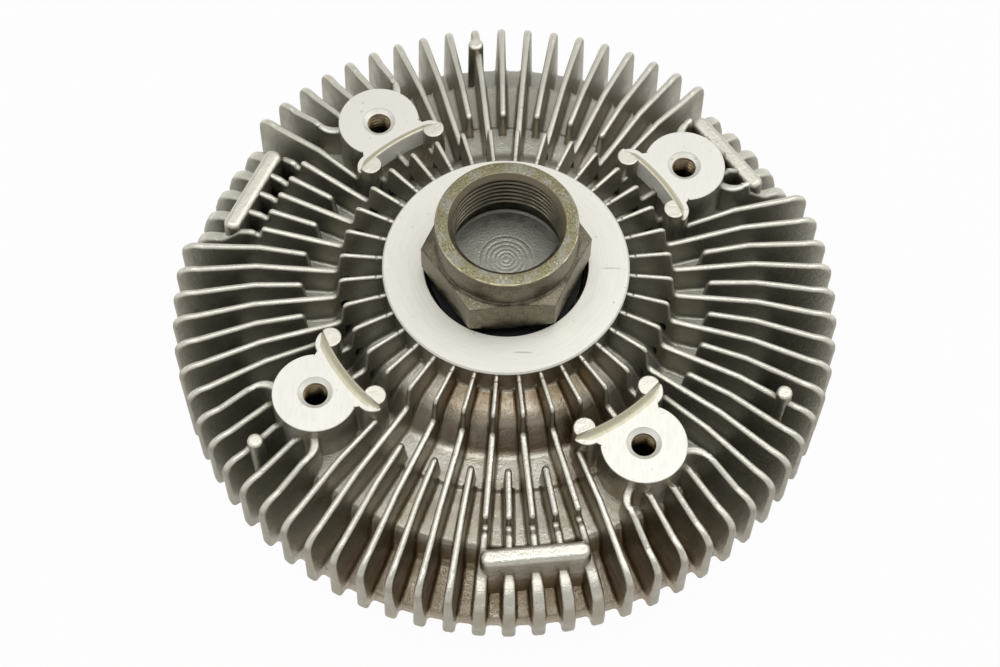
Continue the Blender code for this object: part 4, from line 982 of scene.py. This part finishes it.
class Finish:
    """A material, built one shader node at a time."""

    def __init__(self, name, metallic=1.0):
        self.made = bpy.data.materials.new(name)
        self.made.use_nodes = True
        self.tree = self.made.node_tree
        self.shader = self.tree.nodes["Principled BSDF"]
        self.shader.inputs["Metallic"].default_value = metallic

    def feed(self, socket, value):
        if isinstance(value, bpy.types.NodeSocket):
            self.tree.links.new(value, socket)
        elif isinstance(value, tuple) and len(value) == 3 and len(socket.default_value) == 4:
            socket.default_value = (*value, 1.0)
        else:
            socket.default_value = value

    def node(self, kind, inputs, output=0, **settings):
        made = self.tree.nodes.new("ShaderNode" + kind)
        for key, value in settings.items():
            setattr(made, key, value)
        for key, value in inputs.items():
            self.feed(made.inputs[key], value)
        return made.outputs[output]

    def place(self):
        return self.node("TexCoord", {}, "Object")

    def math(self, operation, *values):
        return self.node("Math", dict(enumerate(values)), operation=operation)

    def noise(self, scale, detail, vector=None):
        inputs = {"Vector": vector or self.place(), "Scale": scale, "Detail": detail}
        return self.node("TexNoise", inputs)

    def ramp(self, value, low, high, start=0.0, end=1.0):
        inputs = {"Value": value, "From Min": low, "From Max": high, "To Min": start, "To Max": end}
        return self.node("MapRange", inputs, interpolation_type="SMOOTHSTEP")

    def mix(self, share, a, b):
        return self.node("Mix", {0: share, 6: a, 7: b}, 2, data_type="RGBA")

    def blend(self, value, low, high, a, b):
        """Colour a where the value is low and b where it is high."""
        return self.mix(self.ramp(value, low, high), a, b)

    def both(self, a, b):
        return self.math("MULTIPLY", a, b)

    def stretched(self, factors):
        return self.node("VectorMath", {0: self.place(), 1: factors}, operation="MULTIPLY")

    def radius(self):
        return self.node("VectorMath", {0: self.stretched(FLAT)}, "Value", operation="LENGTH")

    def height(self):
        return self.node("SeparateXYZ", {0: self.place()}, 2)

    def turned_place(self, stretch):
        """Coordinates that draw a pattern out round the axis; stretch is its length per radian."""
        x = self.node("SeparateXYZ", {0: self.place()}, 0)
        y = self.node("SeparateXYZ", {0: self.place()}, 1)
        along = self.both(self.math("ARCTAN2", y, x), stretch)
        return self.node("CombineXYZ", {0: self.radius(), 1: along, 2: self.height()})

    def upward(self):
        facing = self.node("NewGeometry", {}, "Normal")
        return self.node("SeparateXYZ", {0: facing}, 2)

    def toward(self, azimuth):
        """Cosine of the angle between a point's azimuth and the given one."""
        unit = self.node("VectorMath", {0: self.stretched(FLAT)}, operation="NORMALIZE")
        aim = tuple(polar(1.0, azimuth))
        return self.node("VectorMath", {0: unit, 1: aim}, "Value", operation="DOT_PRODUCT")

    def openness(self, distance):
        return self.node("AmbientOcclusion", {"Distance": distance}, "AO", samples=2)

    def bump(self, height, distance, strength):
        normal = self.node("Bump", {"Height": height, "Distance": distance, "Strength": strength})
        self.tree.links.new(normal, self.shader.inputs["Normal"])

    def coat(self, colour, roughness):
        self.feed(self.shader.inputs["Base Color"], colour)
        self.feed(self.shader.inputs["Roughness"], roughness)
        return self.made


# Colours of the casting, a pair where one pattern blends two. Most are painted light and shade:
# painted shade in the hollows and on steep sides, painted light on the open tops and on the floors.
# The hollows and floors are darker left and right of the shaft than in front of and behind it,
# and the tops darker on the near side, as painted shade.
PAINTED_SHADE_HOLLOWS = ((0.215, 0.204, 0.166), (0.44, 0.408, 0.328))
PAINTED_FLOOR_LIGHT = ((0.40, 0.388, 0.335), (0.62, 0.605, 0.54))
PAINTED_LIGHT_TOPS = ((0.88, 0.852, 0.755), (0.80, 0.772, 0.680))
PAINTED_STEEP_SHADE = (0.225, 0.196, 0.138)
STAINS = ((0.32, 0.208, 0.096), (0.215, 0.142, 0.068))
DUST = (0.33, 0.26, 0.155)
SPECK = (0.14, 0.105, 0.07)
NEAR_AZIMUTH = 275.0

# Radii and heights between which the stains fade in and out
INNER_STAIN_START = (0.0325, 0.0335)
INNER_STAIN_END = (0.0470, 0.0456)
OUTER_STAIN_START = (0.0700, 0.0722)
OUTER_STAIN_TOP = (-0.0215, -0.0240)


def cast_aluminium():
    """As-cast skin with painted light on the fins' tops and floors, painted shade between the fins and on
    steep sides, and brown stains on the near side.
    """
    mat = Finish("cast_aluminium_skin")
    grain = mat.noise(2300.0, detail=2.0)
    blotch = mat.noise(240.0, detail=4.0)
    open_air = mat.openness(0.0060)
    # Painted shade and light: ambient occlusion, with some grain, darkens the hollows between the fins
    # and leaves the open tops bright.
    shade_and_grain = mat.math("MULTIPLY_ADD", mat.math("SUBTRACT", grain, 0.5), 0.30, open_air)
    near = mat.ramp(mat.toward(NEAR_AZIMUTH), 0.74, 0.95)
    # Painted shade by azimuth: hollows and floors darker left and right of the shaft.
    sideways_shade = mat.math("POWER", mat.toward(0.0), 2.0)
    dark = mat.blend(sideways_shade, 0.75, 0.25, *PAINTED_SHADE_HOLLOWS)
    # Painted shade: the open tops darker on the near side.
    bright = mat.mix(near, *PAINTED_LIGHT_TOPS)
    tone = mat.blend(shade_and_grain, 0.25, 0.95, dark, bright)
    # Painted light: floors that face up inside the hollows take a lighter colour, itself darker left and
    # right of the shaft as painted shade.
    level = mat.ramp(mat.upward(), 0.70, 0.95)
    covered = mat.ramp(open_air, 0.80, 0.60)
    floor = mat.blend(sideways_shade, 0.85, 0.35, *PAINTED_FLOOR_LIGHT)
    tone = mat.mix(mat.both(level, covered), tone, floor)
    # Painted shade: steep open faces, such as the fins' outer ends, darkened.
    steep = mat.both(mat.ramp(mat.upward(), 0.75, 0.30), mat.ramp(open_air, 0.55, 0.85))
    tone = mat.mix(mat.both(steep, 0.78), tone, PAINTED_STEEP_SHADE)
    r = mat.radius()
    z = mat.height()
    inner = mat.both(mat.ramp(r, *INNER_STAIN_START), mat.ramp(r, *INNER_STAIN_END))
    outer = mat.both(mat.ramp(r, *OUTER_STAIN_START), mat.ramp(z, *OUTER_STAIN_TOP))
    sheltered = mat.ramp(open_air, 0.88, 0.74)
    where = mat.math("MAXIMUM", inner, mat.both(outer, 0.85))
    patches = mat.ramp(blotch, 0.16, 0.50)
    stain = mat.both(mat.both(near, sheltered), mat.both(where, patches))
    tone = mat.mix(mat.both(stain, 0.92), tone, mat.blend(grain, 0.35, 0.65, *STAINS))
    dust = mat.both(mat.ramp(mat.noise(130.0, detail=3.0), 0.36, 0.66), near)
    tone = mat.mix(mat.both(mat.both(dust, sheltered), 0.50), tone, DUST)
    specks = mat.both(mat.ramp(mat.noise(900.0, detail=1.0), 0.72, 0.80), near)
    tone = mat.mix(mat.both(specks, 0.4), tone, SPECK)
    matt = mat.ramp(near, 0.0, 1.0, start=0.47, end=0.37)
    rough = mat.math("ADD", matt, mat.ramp(blotch, 0.25, 0.75, start=-0.06, end=0.07))
    uneven = mat.math("ADD", grain, mat.noise(620.0, detail=2.0))
    mat.bump(uneven, distance=0.00013, strength=0.9)
    return mat.coat(tone, rough)


def dimmed(tint, share):
    return tuple(share * value for value in tint)


def machined_aluminium(name, tint, turned=False, metallic=1.0):
    """Bright faced surface with faint tool streaks, pits and a few scratches."""
    mat = Finish(name, metallic)
    drawn_out = mat.turned_place(0.0020) if turned else mat.stretched((1.0, 0.15, 1.0))
    streaks = mat.noise(1800.0, detail=3.0, vector=drawn_out)
    pits = mat.ramp(mat.noise(700.0, detail=2.0), 0.69, 0.76)
    crossways = mat.stretched((0.10, 1.0, 1.0))
    scratches = mat.ramp(mat.noise(520.0, detail=1.0, vector=crossways), 0.725, 0.75)
    marks = mat.both(mat.math("MAXIMUM", pits, scratches), 0.45)
    tone = mat.blend(streaks, 0.30, 0.70, tint, dimmed(tint, 0.965))
    tone = mat.mix(marks, tone, dimmed(tint, 0.45))
    mat.bump(streaks, distance=0.000010, strength=0.6)
    return mat.coat(tone, mat.ramp(streaks, 0.3, 0.7, start=0.52, end=0.62))


RESIDUES = ((0.50, 0.38, 0.22), (0.30, 0.24, 0.16))
# Painted shade deep in the fan holes.
HOLE_SHADE = (0.02, 0.018, 0.014)


def tapped_wall():
    """Cut thread with brown residue, and painted shade that darkens it towards its end."""
    mat = Finish("tapped_hole_wall")
    tone = mat.blend(mat.noise(500.0, detail=3.0), 0.35, 0.65, *RESIDUES)
    # Painted shade: the hole goes near-black with depth.
    deep = mat.ramp(mat.height(), PAD_Z - 0.0045, PAD_Z - 0.0080)
    return mat.coat(mat.mix(deep, tone, HOLE_SHADE), 0.36)


# Colours of the hub: its sides, its cup, and the stained top with its turned edges
SIDES = ((0.150, 0.132, 0.092), (0.235, 0.210, 0.155))
PALE = (0.46, 0.43, 0.36)
PIT = (0.08, 0.068, 0.045)
CUP_FLOORS = ((0.47, 0.462, 0.40), (0.38, 0.375, 0.33))
GOLDS = ((0.36, 0.338, 0.225), (0.235, 0.210, 0.095))
GREYS = ((0.44, 0.43, 0.37), (0.31, 0.30, 0.24))
WORN = (0.66, 0.64, 0.56)
EDGES = ((0.50, 0.465, 0.32), (0.30, 0.27, 0.17))
MOUTH_WALL = (0.25, 0.215, 0.150)
# Thread colours from root to crest: the dark roots are painted shade.
THREAD_ROOT_SHADE = ((0.022, 0.017, 0.011), (0.20, 0.178, 0.130))


def stained_top(mat, blotch):
    """Olive-gold film on the collar's turned top face, grey in patches and worn bright."""
    turned = mat.turned_place(0.0090)
    brushed = mat.noise(2600.0, detail=5.0, vector=turned)
    gold = mat.blend(brushed, 0.40, 0.62, *GOLDS)
    grey = mat.blend(brushed, 0.40, 0.60, *GREYS)
    patch = mat.ramp(mat.noise(300.0, detail=2.0, vector=turned), 0.46, 0.60)
    film = mat.mix(mat.both(patch, 0.85), gold, grey)
    worn = mat.both(mat.ramp(brushed, 0.44, 0.36), mat.ramp(blotch, 0.50, 0.66))
    return mat.mix(mat.both(worn, 0.8), film, WORN)


def hub_steel():
    """Dark oiled steel, olive-gold where the top face is stained and bright on its turned edges."""
    mat = Finish("hub_steel_skin")
    blotch = mat.noise(420.0, detail=5.0)
    grain = mat.noise(2000.0, detail=3.0)
    r = mat.radius()
    z = mat.height()
    base = mat.blend(blotch, 0.35, 0.65, *SIDES)
    pale = mat.ramp(mat.noise(2400.0, detail=3.0), 0.54, 0.70)
    base = mat.mix(mat.both(pale, 0.45), base, PALE)
    base = mat.mix(mat.ramp(grain, 0.46, 0.34, end=0.55), base, PIT)
    low = mat.ramp(z, CUP_FLOOR_Z + 0.0009, CUP_FLOOR_Z + 0.0004)
    floor = mat.both(low, mat.ramp(r, 0.0150, 0.0146))
    base = mat.mix(floor, base, mat.blend(blotch, 0.3, 0.7, *CUP_FLOORS))
    high = mat.ramp(z, CUP_TOP_Z - 0.0007, CUP_TOP_Z - 0.0001)
    top = mat.both(high, mat.ramp(r, 0.0148, 0.0150))
    base = mat.mix(top, base, stained_top(mat, blotch))
    edge_r = COLLAR_R - COLLAR_CHAMFER
    rim = mat.both(top, mat.ramp(r, edge_r - 0.0001, edge_r + 0.0001))
    base = mat.mix(rim, base, mat.blend(blotch, 0.4, 0.6, *EDGES))
    over_floor = mat.ramp(z, CUP_FLOOR_Z + 0.0005, CUP_FLOOR_Z + 0.0010)
    bore = mat.both(mat.ramp(r, 0.0151, 0.0150), over_floor)
    mouth = mat.both(bore, mat.ramp(z, THREAD_TOP_Z, THREAD_TOP_Z + 0.0003))
    base = mat.mix(mouth, base, MOUTH_WALL)
    thread = mat.both(bore, mat.ramp(z, THREAD_TOP_Z + 0.0002, THREAD_TOP_Z))
    # Painted shade: the thread darker in its roots than on its crests.
    thread_root_shade = mat.blend(r, THREAD_ROOT_R - 0.0003, THREAD_CREST_R + 0.0001, *THREAD_ROOT_SHADE)
    base = mat.mix(thread, base, thread_root_shade)
    mat.bump(grain, distance=0.00008, strength=0.8)
    return mat.coat(base, mat.ramp(blotch, 0.3, 0.7, start=0.36, end=0.52))


def worked_metal(name, tint, roughness, metallic=1.0):
    """Sheet, plated or rolled metal with fine grain and uneven sheen."""
    mat = Finish(name, metallic)
    blotch = mat.noise(300.0, detail=4.0)
    grain = mat.noise(1500.0, detail=2.0)
    tone = mat.blend(blotch, 0.3, 0.7, tint, dimmed(tint, 0.72))
    mat.bump(grain, distance=0.00002, strength=0.6)
    return mat.coat(tone, mat.ramp(blotch, 0.3, 0.7, start=roughness - 0.06, end=roughness + 0.08))


CAST = cast_aluminium()
FACED = machined_aluminium("machined_pad_face", (0.94, 0.925, 0.86))
TURNED = machined_aluminium("machined_ring_face", (0.93, 0.915, 0.84), turned=True)
CREAM = machined_aluminium("stained_pilot_rim", (0.70, 0.665, 0.52))
# Near-white and mostly diffuse: partly bright machined metal, partly painted reflection of the ring
# below.
PILOT_WALL_PAINTED_REFLECTION = machined_aluminium("bored_pilot_wall_painted_reflection", (0.98, 0.97, 0.92), metallic=0.15)
# Near-black painted shadow for the wall round the bearing's front and for the bearing's outer race.
BORE_SHADOW = worked_metal("painted_shadow_bore_wall", (0.03, 0.028, 0.024), 0.55)
TAPPED = tapped_wall()
HUB = hub_steel()

# Tint, roughness and metallic share of the plain finishes, by slot
PLAIN_LOOKS = {
    "bearing_steel": ((0.55, 0.54, 0.52), 0.25, 1.0),
    "cage_steel": ((0.45, 0.44, 0.42), 0.35, 1.0),
    "black_rubber": ((0.006, 0.006, 0.006), 0.6, 0.0),
    "sheet_steel": ((0.52, 0.51, 0.48), 0.32, 1.0),
    "zinc_plated": ((0.66, 0.66, 0.64), 0.30, 1.0),
    "bimetal": ((0.58, 0.47, 0.28), 0.32, 1.0),
}
NODE_FINISHES = {slot: worked_metal(slot + "_skin", *look) for slot, look in PLAIN_LOOKS.items()}
NODE_FINISHES |= {"cast_aluminium": CAST, "hub_steel": HUB}


def build_casting():
    bm = bmesh.new()
    casting_body(bm)
    # Painted shadow on the wall round the bearing's front.
    paint_bore_shadow(bm)
    for azimuth in spaced(PAD_COUNT, PAD_AZIMUTH):
        for side in (-1, 1):
            ejector_post(bm, azimuth + side * EJECTOR_ANGLE)
            pad_hook(bm, azimuth, side)
    for azimuth in spaced(BAR_COUNT, BAR_AZIMUTH):
        balance_bar(bm, azimuth)
    for azimuth in spaced(PIN_COUNT, PIN_AZIMUTH):
        gate_pin(bm, azimuth)
    add_housing_piece("housing_casting", bm, [CAST, BORE_SHADOW], ["rear_housing"])


def build_fins():
    """Long and short fins by turns, and their fillets as a piece of its own."""
    fins = bmesh.new()
    fillets = bmesh.new()
    for i, azimuth in enumerate(spaced(FIN_COUNT, FIN_AZIMUTH)):
        is_long = i % 2 == 1
        one_fin(fins, azimuth, is_long)
        fin_fillets(fillets, azimuth, is_long)
    add_housing_piece("housing_fins", fins, [CAST])
    add_housing_piece("housing_fillets", fillets, [CAST])


def build_machined_faces():
    """Ring, fan pads and pilot rims."""
    ring = bmesh.new()
    machined_ring(ring)
    # Painted shadow on the ring's faces round the bearing.
    paint_bore_shadow(ring)
    add_housing_piece("housing_ring", ring, [TURNED, BORE_SHADOW])
    pads = bmesh.new()
    rims = bmesh.new()
    for azimuth in spaced(PAD_COUNT, PAD_AZIMUTH):
        fan_pad(pads, azimuth)
        pilot_crescent(rims, azimuth)
    add_housing_piece("housing_fan_pads", pads, [CAST, FACED, TAPPED])
    add_housing_piece("housing_pilot_rims", rims, [CREAM, PILOT_WALL_PAINTED_REFLECTION])


def build_hub():
    bm = bmesh.new()
    around(bm, hub_section, 180, closed=False, azimuth=HEX_AZIMUTH)
    add_piece("hub_body", bm, [HUB], "hub", ["hub_shaft"], sharp=28.0)


def build_coil():
    """The coil's turns, which stay with the housing, and its tang, which turns with the valve."""
    metal = NODE_FINISHES["bimetal"]
    coil_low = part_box("bimetal_coil")[0].z - RING_Z
    coil_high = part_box("bimetal_coil")[1].z - RING_Z
    turns = bmesh.new()
    strip(turns, coil_spiral(), coil_low, coil_high)
    add_piece("coil_turns", turns, [metal], "housing", ["bimetal_coil"])
    tang = bmesh.new()
    strip(tang, [(-TANG_R, 0.0), (TANG_R, 0.0)], coil_low, coil_high - NODE_EDGE)
    add_piece("coil_tang", tang, [metal], "valve")


def finish_nodes():
    """Rounded edges and finishes for the nodes that come from the frame."""
    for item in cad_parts.values():
        slot = item.data.materials[0].name.split(".")[0]
        item.data.materials.clear()
        # The bearing's outer race takes the same near-black painted shadow.
        item.data.materials.append(BORE_SHADOW if item.name == "bearing_outer_race" else NODE_FINISHES[slot])
        edge = item.modifiers.new("rounded_edges", "BEVEL")
        edge.width = NODE_EDGE
        edge.segments = 2
        edge.limit_method = "ANGLE"
        edge.angle_limit = math.radians(NODE_EDGE_ANGLE)


# Camera; PX means pixels of the photograph
FOCAL_PX = 1982.25
CAMERA_DISTANCE = 0.51686
CAMERA_ELEVATION = 59.558
CAMERA_TILT_PX = (4.2247, -69.820)
CAMERA_ROLL = 1.4564
PHOTO_WIDTH_PX = 1000
SENSOR = 36.0

# Floor, lamp and world
FLOOR_HALF = 3.0
FLOOR_GAP = 0.0002
FLOOR_GREY = (0.55, 0.55, 0.55)
FLOOR_GLOW = 0.97
WHITE = (1.0, 1.0, 1.0)
SKY = (1.0, 0.995, 0.975, 1.0)
SKY_STRENGTH = 0.50
LAMP_PLACE = (0.10, 0.03, 0.80)
LAMP_WIDTH = 0.50
LAMP_DEPTH = 2.0
LAMP_POWER = 5.2


def add_camera():
    """Camera at the photograph's viewing angle, aimed from the ring's centre by a pan and a tilt."""
    elevation = math.radians(CAMERA_ELEVATION)
    roll = math.radians(CAMERA_ROLL)
    ahead = Vector((0.0, math.cos(elevation), -math.sin(elevation)))
    place = -ahead * CAMERA_DISTANCE
    right = Vector((1.0, 0.0, 0.0))
    up = right.cross(ahead)
    aside, below = CAMERA_TILT_PX
    pan = Matrix.Rotation(math.atan2(aside, FOCAL_PX), 3, up)
    ahead = pan @ ahead
    right = pan @ right
    tilt = Matrix.Rotation(math.atan2(below, math.hypot(FOCAL_PX, aside)), 3, right)
    ahead = tilt @ ahead
    up = tilt @ up
    rolled_right = right * math.cos(roll) + up * math.sin(roll)
    rolled_up = -right * math.sin(roll) + up * math.cos(roll)
    camera = bpy.data.objects.new("camera", bpy.data.cameras.new("camera"))
    link(camera)
    turn = Matrix((rolled_right, rolled_up, -ahead)).transposed().to_4x4()
    turn.translation = place + Vector((0.0, 0.0, RING_Z))
    camera.matrix_world = turn
    camera.data.sensor_width = SENSOR
    camera.data.lens = FOCAL_PX * SENSOR / PHOTO_WIDTH_PX
    camera.data.clip_start = 0.01
    bpy.context.scene.camera = camera


def add_floor():
    """Pale floor that the camera and the metal see as nearly white."""
    bm = bmesh.new()
    bmesh.ops.create_grid(bm, x_segments=1, y_segments=1, size=FLOOR_HALF)
    mesh = to_mesh(bm, "floor")
    floor = bpy.data.objects.new("floor", mesh)
    link(floor)
    floor.location.z = -FLOOR_GAP
    mat = Finish("pale_floor", metallic=0.0)
    mesh.materials.append(mat.coat(FLOOR_GREY, 0.9))
    glow = mat.node("Emission", {"Color": WHITE, "Strength": 1.0})
    straight = mat.node("LightPath", {}, "Is Camera Ray")
    mirrored = mat.node("LightPath", {}, "Is Glossy Ray")
    share = mat.both(mat.math("MAXIMUM", straight, mirrored), FLOOR_GLOW)
    mixed = mat.node("MixShader", {0: share, 1: mat.shader.outputs[0], 2: glow})
    mat.tree.links.new(mixed, mat.tree.nodes["Material Output"].inputs["Surface"])


def add_softbox():
    """One large lamp overhead, aimed at the origin."""
    lamp = bpy.data.lights.new("overhead", "AREA")
    lamp.shape = "RECTANGLE"
    lamp.size = LAMP_WIDTH
    lamp.size_y = LAMP_DEPTH
    lamp.energy = LAMP_POWER
    box = bpy.data.objects.new("overhead", lamp)
    link(box)
    box.location = LAMP_PLACE
    box.rotation_euler = (-Vector(LAMP_PLACE)).to_track_quat("-Z", "Y").to_euler()


def add_world():
    world = bpy.data.worlds.new("studio")
    bpy.context.scene.world = world
    world.use_nodes = True
    sky = world.node_tree.nodes["Background"]
    sky.inputs["Color"].default_value = SKY
    sky.inputs["Strength"].default_value = SKY_STRENGTH


build_casting()
build_fins()
build_machined_faces()
build_hub()
build_coil()
finish_nodes()
add_camera()
add_floor()
add_softbox()
add_world()
bpy.context.scene.view_settings.view_transform = "Standard"
